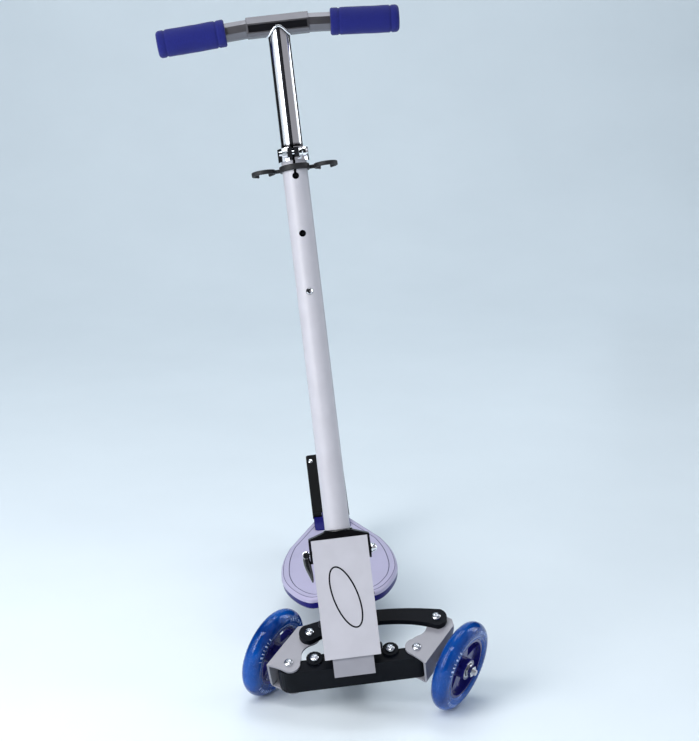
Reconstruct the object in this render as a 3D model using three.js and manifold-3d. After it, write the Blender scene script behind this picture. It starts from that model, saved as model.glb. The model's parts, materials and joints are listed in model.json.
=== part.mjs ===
import * as THREE from 'three';
import { mergeVertices } from 'three/addons/utils/BufferGeometryUtils.js';
import Module from 'manifold-3d';

// Three wheel scooter for a child: two front wheels on a lean-to-steer linkage, one rear wheel,
// a folding stem with a sliding riser, and a T-bar with two pull-out handles.
// It stands as it rests by itself, leaning on the left stop of its linkage.
// Millimetres, +Z up, the front wheels towards -Y.

const wasm = await Module();
wasm.setup();

// Clearances
const gap = 0.3;
const overrun = 1;
const airGap = 1;

// Angles, in degrees
const kingpinTilt = 27;
const stemRake = 16.7;
const stopTurn = 39;
const handleDroop = 3.6;
const flapAngle = 40;
const leverSplay = -3;

// Front linkage: the datum plane is the top face of the knuckle plates
const kingpinHalfSpacing = 81;
const armLength = 48.5;
const kingpinRadius = 4;
const sheet = 3;
const knuckleHeight = 46;
const knuckleLobeRadius = 12;
const knuckleLobeShift = 3;
const knuckleWallReach = 22.5;
const knuckleWallFront = 16;
const knuckleWaistReach = 4.4;
const knuckleWaistAlong = 27;
const knuckleEyeRadius = 12.5;
const knuckleBendRadius = 9;
const knuckleBackCorner = 7;
const knuckleFrontBend = 12;
const knuckleWallRear = 54;
const knuckleFloorRear = 13;
const wallFootSetback = 2.3;
const axleLobeRadius = 9.3;

// Crossbeam and its bosses
const beamHalfWidth = 14.5;
const beamWaist = 4;
const beamMiddleBack = 10.5;
const beamMiddleHalf = 40;
const bossHalfSpacing = 48;
const bossSetback = 3;
const bossRadius = 10.5;
const bossBoltRadius = 3.5;
const beamPocketDepth = 24;
const beamRib = 3.5;

// Tie rod
const rodThickness = 8;
const rodEyeRadius = 13.5;
const rodHalfWidth = 9.5;
const rodArch = 14;

// Screw heads and nuts
const headRadius = 5.6;
const headHeight = 3.2;
const headDishRadius = 1.9;
const headDishDepth = 1.6;
const nutRadius = 6.5;
const nutHeight = 5;
const threadReach = 4;

// Wheels
const frontWheelRadius = 60;
const rearWheelRadius = 50;
const tyreWidth = 24;
const tyreDepth = 20;
const tyreCrownRadius = 12;
const rimWall = 3;
const rimLip = 2.2;
const rimLipHeight = 2.6;
const hubBossRadius = 13.6;
const hubLength = 26;
const spokeCount = 5;
const spokeThickness = 9;
const spokeHalfWidth = 8.5;
const spokeTipHalf = 3.2;
const bearingRadius = 11;
const bearingWidth = 7;
const bearingShoulder = 8.5;
const axleRadius = 4;
const washerRadius = 8;
const washerThickness = 1.5;
const spacerRadius = 7;
const axleHeadHeight = 5;

// Front wheels on their knuckles
const wheelOffset = 46.3;
const wheelTrail = 26.4;
const axleDrop = 36.7;

// Front upright and its cover plate
const plateWidth = 70.2;
const plateLength = 148.5;
const plateDepth = 24;
const plateSheet = 2.5;
const plateFootForward = 25;
const plateFootHeight = 8.7;
const plateShoulder = 12;
const uprightWidth = 51.2;
const uprightSheet = 3;
const uprightDepth = 24;
const uprightFootDrop = 23;
const coverScrewRadius = 2.5;
const coverScrewHeadRadius = 4.5;
const coverScrewHeadHeight = 3;
const upperScrewHeight = 44;
const lowerScrewHeight = 9;
const coverScrewSetback = 12;

// Fold joint
const pivotSetback = 34;
const pivotHeight = 127;
const skewerRadius = 4;
const pivotLobeRadius = 13;
const cheekSheet = 3;
const cheekRadius = 12;
const blockDepth = 26;
const blockBottom = 17;
const blockShoulder = 19;
const blockCrownHalf = 17;
const stemFoot = 26.3;
const plugLength = 30;
const domeNutRadius = 6.5;
const domeNutLength = 8;
const camRadius = 4.5;
const camWidth = 13;
const camPinRadius = 1.5;
const skewerTailRadius = 2.4;
const leverLength = 31;
const leverWidth = 13;
const leverThickness = 5.5;
const leverTipThickness = 3;
const bushRadius = 6.5;

// Stem and riser
const stemRadius = 16;
const stemWall = 1.7;
const stemLength = 482.5;
const riserRadius = 13.9;
const riserWall = 1.6;
const riserTail = 282.5;
const buttonHeight = 301.5;
const holeSpacing = 73;
const holeRadius = 4.4;
const slitWidth = 3.2;
const buttonRadius = 4;
const buttonProud = 2.6;
const buttonFlangeRadius = 6;
const buttonFlange = 1.4;
const springWidth = 9;
const springSheet = 0.9;
const springLength = 46;

// Clamp collar and grip holder
const collarHeight = 17;
const collarWall = 3.6;
const collarTopShy = 1;
const lugReach = 12;
const lugWidth = 6;
const lugSlit = 2.6;
const clampBoltRadius = 2.8;
const clampHeadRadius = 6.4;
const clampHeadLength = 8;
const clampNutRadius = 6.2;
const clampNutLength = 6;
const clampWasherRadius = 5.2;
const clampWasherLength = 2.6;
const holderHeight = 10.5;
const holderWall = 3;
const holderDrop = 3;
const clipRadius = 15.5;
const clipBore = 12.4;
const clipCentre = 39.5;
const clipMouthShare = 0.8;
const holderArm = 6.5;

// T-bar
const sleeveWidth = 26;
const barDepthShare = 0.84;
const sleeveLength = 79;
const sleeveHeight = 641.5;
const socketWidth = 23.2;
const stubWidth = 22.6;
const stubInner = 16;
const stubOuter = 148;
const socketMiddle = 27;
const trimWidth = 9.3;
const trimLength = 75;
const trimDepth = 0.8;
const gripInner = 66.7;
const gripOuter = 154;
const gripRadius = 17.5;
const gripEndRound = 5;
const gripGrooveDepth = 1;
const gripGrooveWidth = 3;
const gripGrooveInset = 11;

// Deck and neck
const deckTopHeight = 4;
const deckFront = 188;
const deckLength = 300;
const deckHalfWidth = 83;
const deckFrontHalf = 44;
const deckRearHalf = 28;
const deckWidestShare = 0.33;
const deckCornerShare = 0.165;
const deckShoulderShare = 0.72;
const deckEdgeShare = 0.9;
const domeShoulderShare = 0.8;
const domeCrownShare = 0.4;
const buttonCrownShare = 0.7;
const clampEdgeShare = 0.7;
const clampRimShare = 0.8;
const deckTaperShare = 0.66;
const deckTaperHalfShare = 0.83;
const deckTopThickness = 7.5;
const deckBaseThickness = 10;
const deckTopRound = 5;
const deckBaseRound = 4;
const deckBaseInset = 1;
const neckWidth = 44;
const neckHeight = 24;
const neckWall = 2.5;
const neckReach = 215;
const yokeHalf = 57;
const yokeThickness = 4;
const yokeSetback = 6;

// Rear wheel, fork and brake
const rearAxleReach = 62;
const forkSheet = 3;
const forkArmHeight = 17;
const forkBase = 60;
const brakeBaseHalf = 27;
const brakeBaseLength = 46;
const brakeBaseHeight = 4.5;
const brakeBaseRound = 4;
const flapWidth = 56;
const flapLength = 109;
const flapThickness = 4;
const flapPinHeight = 5;
const flapPinReach = 5.5;
const flapPinRadius = 2;
const flapBarrelRadius = 4.5;
const flapBarrelHalf = 14;
const padStart = 24;
const padLength = 34;
const padThickness = 5;
const flapSkirt = 6;
const flapCorner = 4;

// Facet counts
const fine = 40;
const round = 24;
const small = 14;

const radians = THREE.MathUtils.degToRad;

const rearAxleSetback = deckFront + deckLength + rearAxleReach;

// Turns a closed three.js geometry into a solid for joins and cuts
function solid(geometry) {
  const bare = geometry.clone();
  bare.deleteAttribute('normal');
  bare.deleteAttribute('uv');
  const merged = mergeVertices(bare);
  const corners = merged.index.array;
  const kept = [];
  for (let i = 0; i < corners.length; i += 3) {
    const [a, b, c] = [corners[i], corners[i + 1], corners[i + 2]];
    if (a !== b && b !== c && c !== a) {
      kept.push(a, b, c);
    }
  }
  const vertProperties = new Float32Array(merged.attributes.position.array);
  return new wasm.Manifold(new wasm.Mesh({ numProp: 3, vertProperties, triVerts: new Uint32Array(kept) }));
}

// Turns a solid back into a geometry with flat facets
function geometryOf(body) {
  const mesh = body.getMesh();
  const geometry = new THREE.BufferGeometry();
  geometry.setAttribute('position', new THREE.BufferAttribute(new Float32Array(mesh.vertProperties), 3));
  geometry.setIndex(new THREE.BufferAttribute(new Uint32Array(mesh.triVerts), 1));
  const flat = geometry.toNonIndexed();
  flat.computeVertexNormals();
  return flat;
}

// A revolved body about Z from a closed outline of [radius, height] points
function turned(outline, sides = round) {
  const points = [...outline, outline[0]].map(([r, z]) => new THREE.Vector2(r, z));
  const area = outline.reduce((sum, [r, z], i) => {
    const [nextR, nextZ] = outline[(i + 1) % outline.length];
    return sum + r * nextZ - nextR * z;
  }, 0);
  if (area < 0) {
    points.reverse();
  }
  const body = new THREE.LatheGeometry(points, sides);
  body.rotateX(Math.PI / 2);
  return solid(body);
}

// A straight round bar along Z from one height to another
function bar(radius, from, to, sides = round) {
  const body = new THREE.CylinderGeometry(radius, radius, to - from, sides);
  body.rotateX(Math.PI / 2);
  body.translate(0, 0, (from + to) / 2);
  return solid(body);
}

// A round tube along Z
function ring(outer, inner, from, to, sides = round) {
  return turned([[inner, from], [outer, from], [outer, to], [inner, to]], sides);
}

// A box given by its low and high corners
function box(low, high) {
  const body = new THREE.BoxGeometry(high[0] - low[0], high[1] - low[1], high[2] - low[2]);
  body.translate((low[0] + high[0]) / 2, (low[1] + high[1]) / 2, (low[2] + high[2]) / 2);
  return solid(body);
}

// A plate of a given outline, standing between two heights along Z
function plate(shape, from, to, curveSegments = small) {
  const body = new THREE.ExtrudeGeometry(shape, { depth: to - from, bevelEnabled: false, curveSegments });
  body.translate(0, 0, from);
  return solid(body);
}

// A shape through straight corner points
function outlineShape(points) {
  return new THREE.Shape(points.map(([x, y]) => new THREE.Vector2(x, y)));
}

// A side-view shape of (y, z) points, given thickness along X
function sidePlate(points, from, to) {
  const shape = points instanceof THREE.Shape ? points : outlineShape(points);
  return plate(shape, from, to).rotate([90, 0, 90]);
}

// A round bar along X
function crossBar(radius, from, to, y = 0, z = 0, sides = small) {
  return bar(radius, from, to, sides).rotate([0, 90, 0]).translate([0, y, z]);
}

// A regular polygon prism along Z, measured across its flats
function flats(width, from, to, sides, turn = 0) {
  const body = new THREE.CylinderGeometry(
    width / 2 / Math.cos(Math.PI / sides),
    width / 2 / Math.cos(Math.PI / sides),
    to - from,
    sides,
  );
  body.rotateX(Math.PI / 2);
  body.rotateZ(turn);
  body.translate(0, 0, (from + to) / 2);
  return solid(body);
}

// A pan head with a dish for the driver, standing on the plane z = 0
function panHead(radius, height, sides = small) {
  const shoulder = height / 2;
  const crown = radius * Math.SQRT1_2;
  return turned([
    [0, 0],
    [radius, 0],
    [radius, shoulder],
    [crown, height],
    [headDishRadius, height],
    [headDishRadius * Math.SQRT1_2, height - headDishDepth],
    [0, height - headDishDepth],
  ], sides);
}

const finishes = {
  whitePaint: { color: 0xcfc9d8, roughness: 0.35, metalness: 0.1 },
  blackPlastic: { color: 0x15161a, roughness: 0.5, metalness: 0.0 },
  blackPaint: { color: 0x121316, roughness: 0.4, metalness: 0.2 },
  chrome: { color: 0xd6d8dc, roughness: 0.08, metalness: 1.0 },
  zinc: { color: 0xb9bcc2, roughness: 0.3, metalness: 1.0 },
  steel: { color: 0x8e9096, roughness: 0.35, metalness: 1.0 },
  aluminium: { color: 0x8c8c92, roughness: 0.4, metalness: 0.9 },
  foam: { color: 0x27277e, roughness: 0.95, metalness: 0.0 },
  tyre: { color: 0x1a3ea0, roughness: 0.15, metalness: 0.0 },
  hub: { color: 0x231a66, roughness: 0.3, metalness: 0.0 },
  deckTop: { color: 0xbcb6d8, roughness: 0.45, metalness: 0.0 },
  deckBase: { color: 0x2d1d84, roughness: 0.25, metalness: 0.0 },
};

function named(name, body, finish) {
  const material = new THREE.MeshStandardMaterial(finishes[finish]);
  const mesh = new THREE.Mesh(geometryOf(body), material);
  mesh.name = name;
  return mesh;
}

// Crossbeam: deep black bar with round ends at the kingpins and two raised bosses on its back edge
const plateLevel = -sheet - gap;
const floorLevel = -knuckleHeight + sheet + gap;

function crossbeam() {
  let body = box(
    [-kingpinHalfSpacing, -beamHalfWidth, floorLevel],
    [kingpinHalfSpacing, beamWaist, plateLevel],
  );
  const middle = box(
    [-beamMiddleHalf, -beamHalfWidth, floorLevel],
    [beamMiddleHalf, beamMiddleBack, plateLevel],
  );
  body = body.add(middle);
  for (const side of [-1, 1]) {
    const end = bar(beamHalfWidth, floorLevel, plateLevel);
    body = body.add(end.translate([side * kingpinHalfSpacing, 0, 0]));
    const boss = bar(bossRadius, floorLevel, 0, small).translate([side * bossHalfSpacing, bossSetback, 0]);
    body = body.add(boss);
  }
  // The underside is cored out between ribs
  const pocketHalf = (bossHalfSpacing - bossRadius - beamRib * 1.5) / 2;
  for (const side of [-1, 1]) {
    const middle = side * (beamRib / 2 + pocketHalf);
    body = body.subtract(box(
      [middle - pocketHalf, -beamHalfWidth + beamRib, floorLevel - overrun],
      [middle + pocketHalf, beamMiddleBack - beamRib, floorLevel + beamPocketDepth],
    ));
  }
  for (const side of [-1, 1]) {
    const pin = bar(kingpinRadius + gap, floorLevel - overrun, overrun, small);
    body = body.subtract(pin.translate([side * kingpinHalfSpacing, 0, 0]));
    const bolt = bar(bossBoltRadius + gap, floorLevel - overrun, overrun, small);
    body = body.subtract(bolt.translate([side * bossHalfSpacing, bossSetback, 0]));
  }
  return body;
}

// Boss bolts run down through the beam into the yoke plate below it
function bossBolt(side) {
  const yokeFoot = floorLevel - gap - yokeThickness;
  const body = panHead(headRadius, headHeight).translate([0, 0, gap]);
  return body.add(bar(bossBoltRadius, yokeFoot, headHeight / 2, small)).translate([
    side * bossHalfSpacing, bossSetback, 0,
  ]);
}

// Kingpin: pan head above the knuckle, its nut below
function kingpin(side) {
  const body = panHead(headRadius, headHeight).translate([0, 0, gap]);
  const foot = -knuckleHeight - gap;
  return body
    .add(bar(kingpinRadius, foot - nutHeight - threadReach / 2, headHeight / 2, small))
    .add(flats(nutRadius * 2, foot - nutHeight, foot, 6))
    .translate([side * kingpinHalfSpacing, 0, 0]);
}

// Knuckle: a folded sheet with an upper plate, an outer wall that carries the axle, and a floor.
// Local axes: +X outward, +Y towards the tie rod eye, Z along the kingpin.
function knucklePlateShape() {
  const shape = new THREE.Shape();
  const back = armLength + knuckleEyeRadius;
  const lobeX = -knuckleLobeShift - knuckleLobeRadius * Math.SQRT1_2;
  const lobeY = knuckleLobeRadius * Math.SQRT1_2;
  const eyeX = -knuckleEyeRadius * Math.SQRT1_2;
  const eyeY = armLength - knuckleEyeRadius * Math.SQRT1_2;
  shape.moveTo(-knuckleLobeShift, -knuckleLobeRadius);
  shape.quadraticCurveTo(knuckleFrontBend, -knuckleLobeRadius, knuckleWallReach, -knuckleWallFront);
  shape.lineTo(knuckleWallReach, back - knuckleBackCorner);
  shape.lineTo(knuckleWallReach - knuckleBackCorner, back);
  shape.lineTo(0, back);
  shape.absarc(0, armLength, knuckleEyeRadius, Math.PI / 2, Math.PI * 1.25, false);
  shape.quadraticCurveTo(
    -knuckleWaistReach, (eyeY + knuckleWaistAlong) / 2 + gap,
    -knuckleWaistReach, knuckleWaistAlong,
  );
  shape.bezierCurveTo(
    -knuckleWaistReach, (lobeY + knuckleWaistAlong) / 2,
    (lobeX + eyeX) / 2, (lobeY + knuckleWaistAlong) / 2,
    lobeX, lobeY,
  );
  shape.absarc(-knuckleLobeShift, 0, knuckleLobeRadius, Math.PI * 0.75, Math.PI * 1.5, false);
  return shape;
}

function knuckleFloorShape() {
  const shape = new THREE.Shape();
  shape.moveTo(-knuckleLobeShift, -knuckleLobeRadius);
  shape.lineTo(knuckleFrontBend, -knuckleLobeRadius);
  shape.lineTo(knuckleWallReach, -knuckleWallFront + wallFootSetback);
  shape.lineTo(knuckleWallReach, knuckleFloorRear);
  shape.lineTo(-knuckleLobeShift, knuckleLobeRadius);
  shape.absarc(-knuckleLobeShift, 0, knuckleLobeRadius, Math.PI / 2, Math.PI * 1.5, false);
  return shape;
}

function knuckle(side) {
  const wallShape = new THREE.Shape();
  wallShape.moveTo(-knuckleWallFront, 0);
  wallShape.lineTo(-knuckleWallFront + wallFootSetback, -knuckleHeight);
  wallShape.lineTo(wheelTrail, -knuckleHeight);
  wallShape.absarc(wheelTrail, -axleDrop, axleLobeRadius, -Math.PI / 2, -Math.PI / 8, false);
  wallShape.lineTo(knuckleWallRear, -sheet * 3);
  wallShape.lineTo(knuckleWallRear, 0);
  let body = plate(knucklePlateShape(), -sheet, 0);
  body = body.add(plate(knuckleFloorShape(), -knuckleHeight, -knuckleHeight + sheet));
  body = body.add(sidePlate(wallShape, knuckleWallReach - sheet, knuckleWallReach));
  body = body.subtract(bar(kingpinRadius + gap, -knuckleHeight - overrun, overrun, small));
  const tieBore = bar(kingpinRadius + gap, -sheet - overrun, overrun, small);
  body = body.subtract(tieBore.translate([0, armLength, 0]));
  // The fold between the wall and the floor is rounded outside
  const corner = box(
    [knuckleWallReach - knuckleBendRadius, -knuckleHeight, -knuckleHeight - overrun],
    [knuckleWallReach + overrun, knuckleFloorRear, -knuckleHeight + knuckleBendRadius],
  );
  const roll = bar(knuckleBendRadius, -knuckleHeight * 2, knuckleHeight, round)
    .rotate([90, 0, 0])
    .translate([knuckleWallReach - knuckleBendRadius, 0, -knuckleHeight + knuckleBendRadius]);
  body = body.subtract(corner.subtract(roll));
  const wallBore = crossBar(axleRadius + gap, 0, knuckleWallReach + overrun, wheelTrail, -axleDrop);
  body = body.subtract(wallBore);
  return side > 0 ? body : body.mirror([1, 0, 0]);
}

// The tie rod's bolt goes through the rod and the knuckle plate to a nut under the plate
function tieBolt() {
  const head = panHead(headRadius, headHeight).translate([0, 0, rodThickness + gap * 2]);
  const foot = -sheet - gap;
  return head
    .add(bar(kingpinRadius, foot - nutHeight - threadReach / 2, rodThickness + headHeight / 2, small))
    .add(flats(nutRadius * 2, foot - nutHeight, foot, 6))
    .translate([0, armLength, 0]);
}

// Tie rod: flat black link with round eyes, arched away from the beam
function tieRod() {
  const shape = new THREE.Shape();
  const half = kingpinHalfSpacing;
  const eye = rodEyeRadius;
  const low = rodArch - rodHalfWidth;
  const high = rodArch + rodHalfWidth;
  shape.moveTo(half, -eye);
  shape.absarc(half, 0, eye, -Math.PI / 2, Math.PI / 3, false);
  shape.quadraticCurveTo(half / 2, high, 0, high);
  shape.quadraticCurveTo(-half / 2, high, -half - eye / 2, eye * Math.sin(Math.PI / 3));
  shape.absarc(-half, 0, eye, Math.PI * 2 / 3, Math.PI * 3 / 2, false);
  shape.quadraticCurveTo(-half / 2 - eye / 2, low, 0, low);
  shape.quadraticCurveTo(half / 2 + eye / 2, low, half, -eye);
  let body = plate(shape, gap, gap + rodThickness, small / 2);
  for (const side of [-1, 1]) {
    const bore = bar(kingpinRadius + gap, 0, rodThickness + overrun, small);
    body = body.subtract(bore.translate([side * half, 0, 0]));
  }
  return body;
}

// Wheels spin about Z here and are laid over where they are placed
function tyre(radius) {
  const inner = radius - tyreDepth;
  const half = tyreWidth / 2;
  const outline = [[inner, -half + rimLip], [inner + rimLipHeight, -half]];
  const crownCentre = radius - tyreCrownRadius;
  const steps = 8;
  for (let i = 0; i <= steps; i += 1) {
    const angle = -Math.PI / 2 + Math.PI * i / steps;
    outline.push([crownCentre + tyreCrownRadius * Math.cos(angle), half * Math.sin(angle)]);
  }
  outline.push([inner + rimLipHeight, half], [inner, half - rimLip]);
  return turned(outline, fine);
}

function hub(radius) {
  const rimOuter = radius - tyreDepth - gap;
  const rimInner = rimOuter - rimWall;
  const half = tyreWidth / 2;
  let body = turned([
    [rimInner, -half + rimLip],
    [rimOuter, -half + rimLip],
    [rimOuter, half - rimLip],
    [rimInner, half - rimLip],
  ], fine);
  body = body.add(bar(hubBossRadius, -hubLength / 2, hubLength / 2));
  const reach = rimInner + rimWall / 2;
  const spoke = outlineShape([
    [hubBossRadius / 2, -spokeHalfWidth],
    [hubBossRadius, -spokeHalfWidth],
    [reach, -spokeTipHalf],
    [reach, spokeTipHalf],
    [hubBossRadius, spokeHalfWidth],
    [hubBossRadius / 2, spokeHalfWidth],
  ]);
  const hollow = ring(rimOuter * 2, rimOuter - rimWall / 4, -hubLength, hubLength, fine);
  for (let i = 0; i < spokeCount; i += 1) {
    const web = plate(spoke, -spokeThickness / 2, spokeThickness / 2).subtract(hollow);
    body = body.add(web.rotate([0, 0, 90 + 360 * i / spokeCount]));
  }
  body = body.subtract(bar(bearingShoulder, -hubLength, hubLength, small));
  const seat = hubLength / 2 - bearingWidth - gap;
  for (const side of [-1, 1]) {
    const pocket = bar(bearingRadius + gap, seat, hubLength, round);
    body = body.subtract(side > 0 ? pocket : pocket.mirror([0, 0, 1]));
  }
  return body;
}

function bearing(side) {
  const from = hubLength / 2 - bearingWidth;
  const body = ring(bearingRadius, axleRadius + gap, from, from + bearingWidth, round);
  return side > 0 ? body : body.mirror([0, 0, 1]);
}

// The front axle's head lies inside the knuckle, its nut outside the wheel
const hubFace = hubLength / 2;

function frontAxle() {
  const wall = knuckleWallReach - wheelOffset;
  const head = flats(nutRadius * 2, wall - sheet - gap - axleHeadHeight, wall - sheet - gap, 6);
  return head.add(bar(axleRadius, wall - sheet - gap - overrun, axleEnd(), small));
}

function axleEnd() {
  return hubFace + washerThickness + gap * 2 + nutHeight + threadReach;
}

// Nut with a broad washer face against the wheel's bearing
function axleNut() {
  const face = hubFace + gap;
  const body = flats(nutRadius * 2, face, face + washerThickness + nutHeight, 6)
    .add(bar(washerRadius, face, face + washerThickness, small));
  return body.subtract(bar(axleRadius + gap, 0, axleEnd() * 2, small));
}

function spacer() {
  const wall = knuckleWallReach - wheelOffset;
  return ring(spacerRadius, axleRadius + gap, wall + gap, -hubFace - gap, small);
}

// Upright: sheet channel, open at the back, that stands on the beam and carries the fold joint.
// Local axes of the raked sheet: Y backward from the cover's front face, Z up along the sheet.
const rake = radians(stemRake);
const rakeSin = Math.sin(rake);
const rakeCos = Math.cos(rake);
const pivotBack = (pivotSetback + plateFootForward) * rakeCos - (pivotHeight - plateFootHeight) * rakeSin;
const pivotUp = (pivotSetback + plateFootForward) * rakeSin + (pivotHeight - plateFootHeight) * rakeCos;

function channelSide(front, back, foot, lobe) {
  const shape = new THREE.Shape();
  shape.moveTo(front, foot);
  shape.lineTo(front + back, foot);
  shape.lineTo(front + back, pivotUp - lobe * 2);
  shape.lineTo(pivotBack + lobe, pivotUp - lobe / 2);
  shape.absarc(pivotBack, pivotUp, lobe, 0, Math.PI / 2, false);
  shape.lineTo(front, pivotUp + lobe);
  return shape;
}

function coverPlate() {
  const half = plateWidth / 2;
  let body = box([-half, 0, 0], [half, plateSheet, plateLength]);
  const side = channelSide(0, plateDepth, 0, pivotLobeRadius);
  for (const [from, to] of [[-half, -half + plateSheet], [half - plateSheet, half]]) {
    body = body.add(sidePlate(side, from, to));
  }
  const crown = plateLength - plateShoulder;
  const above = [half + overrun, plateDepth * 2, plateLength * 2];
  body = body.subtract(box([-half - overrun, plateSheet, crown], above));
  body = body.subtract(crossBar(skewerRadius + gap, -plateWidth, plateWidth, pivotBack, pivotUp));
  return body.subtract(coverScrewBores());
}

function coverScrewBores() {
  const bore = (height) => (
    crossBar(coverScrewRadius + gap, -plateWidth, plateWidth, coverScrewSetback, height, small)
  );
  return bore(upperScrewHeight).add(bore(lowerScrewHeight));
}

function upright(beamClearance) {
  const half = uprightWidth / 2;
  const front = plateSheet + gap;
  const foot = -uprightFootDrop;
  const crown = pivotUp + pivotLobeRadius - gap;
  let body = box([-half, front, foot], [half, front + uprightSheet, crown]);
  const side = channelSide(front, uprightDepth, foot, pivotLobeRadius - gap);
  for (const [from, to] of [[-half, -half + uprightSheet], [half - uprightSheet, half]]) {
    body = body.add(sidePlate(side, from, to));
  }
  body = body.subtract(crossBar(skewerRadius + gap, -plateWidth, plateWidth, pivotBack, pivotUp));
  body = body.subtract(coverScrewBores());
  return body.subtract(beamClearance);
}

// Cover screws cross the whole channel: the upper one's head is on the left, the lower one's on the right
function coverScrew(side, height) {
  const reach = plateWidth / 2 + gap;
  const head = panHead(coverScrewHeadRadius, coverScrewHeadHeight)
    .rotate([0, 90, 0])
    .translate([reach, 0, 0]);
  const body = head.add(crossBar(coverScrewRadius, -plateWidth / 2, reach + coverScrewHeadHeight / 2));
  return (side > 0 ? body : body.mirror([1, 0, 0])).translate([0, coverScrewSetback, height]);
}

// Neck: box tube from the beam back under the deck, with the yoke plate that the boss bolts hold
function neck(beamClearance, yokeToBody) {
  const half = neckWidth / 2;
  const top = deckTopHeight - deckTopThickness - deckBaseThickness - gap * 2;
  const end = deckFront + neckReach;
  const start = beamHalfWidth;
  let body = box([-half, start, top - neckHeight], [half, end, top]);
  body = body.subtract(box(
    [-half + neckWall, start - overrun, top - neckHeight + neckWall],
    [half - neckWall, end + overrun, top - neckWall],
  ));
  body = body.subtract(beamClearance);
  const yokeTop = floorLevel - gap;
  const yokeBack = beamMiddleBack + yokeSetback;
  let yoke = box(
    [-yokeHalf, -beamHalfWidth + yokeSetback, yokeTop - yokeThickness],
    [yokeHalf, yokeBack, yokeTop],
  );
  for (const side of [-1, 1]) {
    const bore = bar(bossBoltRadius + gap, yokeTop - yokeThickness - overrun, yokeTop + overrun, small);
    yoke = yoke.subtract(bore.translate([side * bossHalfSpacing, bossSetback, 0]));
  }
  return body.add(yoke.transform(yokeToBody));
}

// Deck outline seen from above, as an arc-sided drop: wide near the front, narrow at the rear
function deckShape(inset) {
  const shape = new THREE.Shape();
  const front = deckFront + inset;
  const rear = deckFront + deckLength - inset;
  const wide = deckHalfWidth - inset;
  const nose = deckFrontHalf - inset / 2;
  const tail = deckRearHalf - inset / 2;
  const corner = deckFront + deckLength * deckCornerShare;
  const widest = deckFront + deckLength * deckWidestShare;
  const taper = deckFront + deckLength * deckTaperShare;
  const taperHalf = wide * deckTaperHalfShare;
  const shoulder = front + (corner - front) * (1 - deckShoulderShare) - (corner - front) / 6;
  const pull = wide * deckShoulderShare;
  const edge = wide * deckEdgeShare;
  shape.moveTo(-nose, front);
  shape.lineTo(nose, front);
  shape.quadraticCurveTo(pull, shoulder, edge, corner);
  shape.quadraticCurveTo(wide, (corner + widest) / 2, wide, widest);
  const bulge = widest + (taper - widest) / 2;
  shape.bezierCurveTo(wide, bulge, taperHalf + tail / 4, taper - tail, taperHalf, taper);
  shape.lineTo(tail, rear);
  shape.lineTo(-tail, rear);
  shape.lineTo(-taperHalf, taper);
  shape.bezierCurveTo(-taperHalf - tail / 4, taper - tail, -wide, bulge, -wide, widest);
  shape.quadraticCurveTo(-wide, (corner + widest) / 2, -edge, corner);
  shape.quadraticCurveTo(-pull, shoulder, -nose, front);
  return shape;
}

function roundedSlab(inset, from, to, edge) {
  const shape = deckShape(inset + edge);
  const body = new THREE.ExtrudeGeometry(shape, {
    depth: to - from - edge * 2,
    bevelEnabled: true,
    bevelThickness: edge,
    bevelSize: edge,
    bevelSegments: 3,
    curveSegments: small / 2,
  });
  body.translate(0, 0, from + edge);
  return solid(body);
}

function deckBand(low, high) {
  const reach = deckHalfWidth * 2;
  return box([-reach, 0, low], [reach, deckFront + deckLength * 2, high]);
}

function deckTop() {
  const low = deckTopHeight - deckTopThickness;
  const slab = roundedSlab(0, low - deckTopRound * 2, deckTopHeight, deckTopRound);
  return slab.intersect(deckBand(low, deckTopHeight + overrun));
}

function deckBase() {
  const high = deckTopHeight - deckTopThickness - gap;
  const low = high - deckBaseThickness;
  const slab = roundedSlab(deckBaseInset, low, high + deckBaseRound * 2, deckBaseRound);
  return slab.intersect(deckBand(low - overrun, high));
}

// Rear fork: a sheet channel under the deck whose arms reach back to the rear axle
const deckUnder = deckTopHeight - deckTopThickness - deckBaseThickness - gap;

function rearFork(axleHeight) {
  const armInner = hubFace + washerThickness + gap * 2;
  const armOuter = armInner + forkSheet;
  const rear = deckFront + deckLength;
  const top = deckUnder - gap;
  const baseFront = deckFront + neckReach + airGap;
  const arm = new THREE.Shape();
  arm.moveTo(baseFront, top);
  arm.lineTo(baseFront, top - forkArmHeight);
  arm.lineTo(rear - forkBase, top - forkArmHeight);
  arm.lineTo(rearAxleSetback, axleHeight - forkArmHeight / 2);
  arm.absarc(rearAxleSetback, axleHeight, forkArmHeight / 2, -Math.PI / 2, Math.PI / 2, false);
  arm.lineTo(rear - gap * 2, top);
  let body = box([-armOuter, baseFront, top - forkSheet], [armOuter, rear - forkSheet, top]);
  for (const [from, to] of [[-armOuter, -armInner], [armInner, armOuter]]) {
    body = body.add(sidePlate(arm, from, to));
  }
  // Pressed bosses round the axle reach in to the bearings
  for (const [from, to] of [[-armOuter, -hubFace - gap], [hubFace + gap, armOuter]]) {
    body = body.add(crossBar(washerRadius, from, to, rearAxleSetback, axleHeight));
  }
  const bore = crossBar(axleRadius + gap, -armOuter * 2, armOuter * 2, rearAxleSetback, axleHeight);
  return body.subtract(bore);
}

function rearAxle() {
  const reach = hubFace + washerThickness + gap * 3 + forkSheet;
  return crossBar(axleRadius, -reach - overrun, reach + nutHeight + threadReach / 2)
    .add(flats(nutRadius * 2, -reach - axleHeadHeight, -reach, 6).rotate([0, 90, 0]));
}

function rearAxleNut() {
  const reach = hubFace + washerThickness + gap * 3 + forkSheet;
  return flats(nutRadius * 2, reach, reach + nutHeight, 6)
    .subtract(bar(axleRadius + gap, reach - overrun, reach + nutHeight + overrun, small))
    .rotate([0, 90, 0]);
}

// Brake: a violet base on the deck's rear holds the pin of the sprung black flap in its middle lug
const flapPinY = deckFront + deckLength + flapPinReach;
const flapPinZ = deckTopHeight + gap + flapPinHeight;

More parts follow.
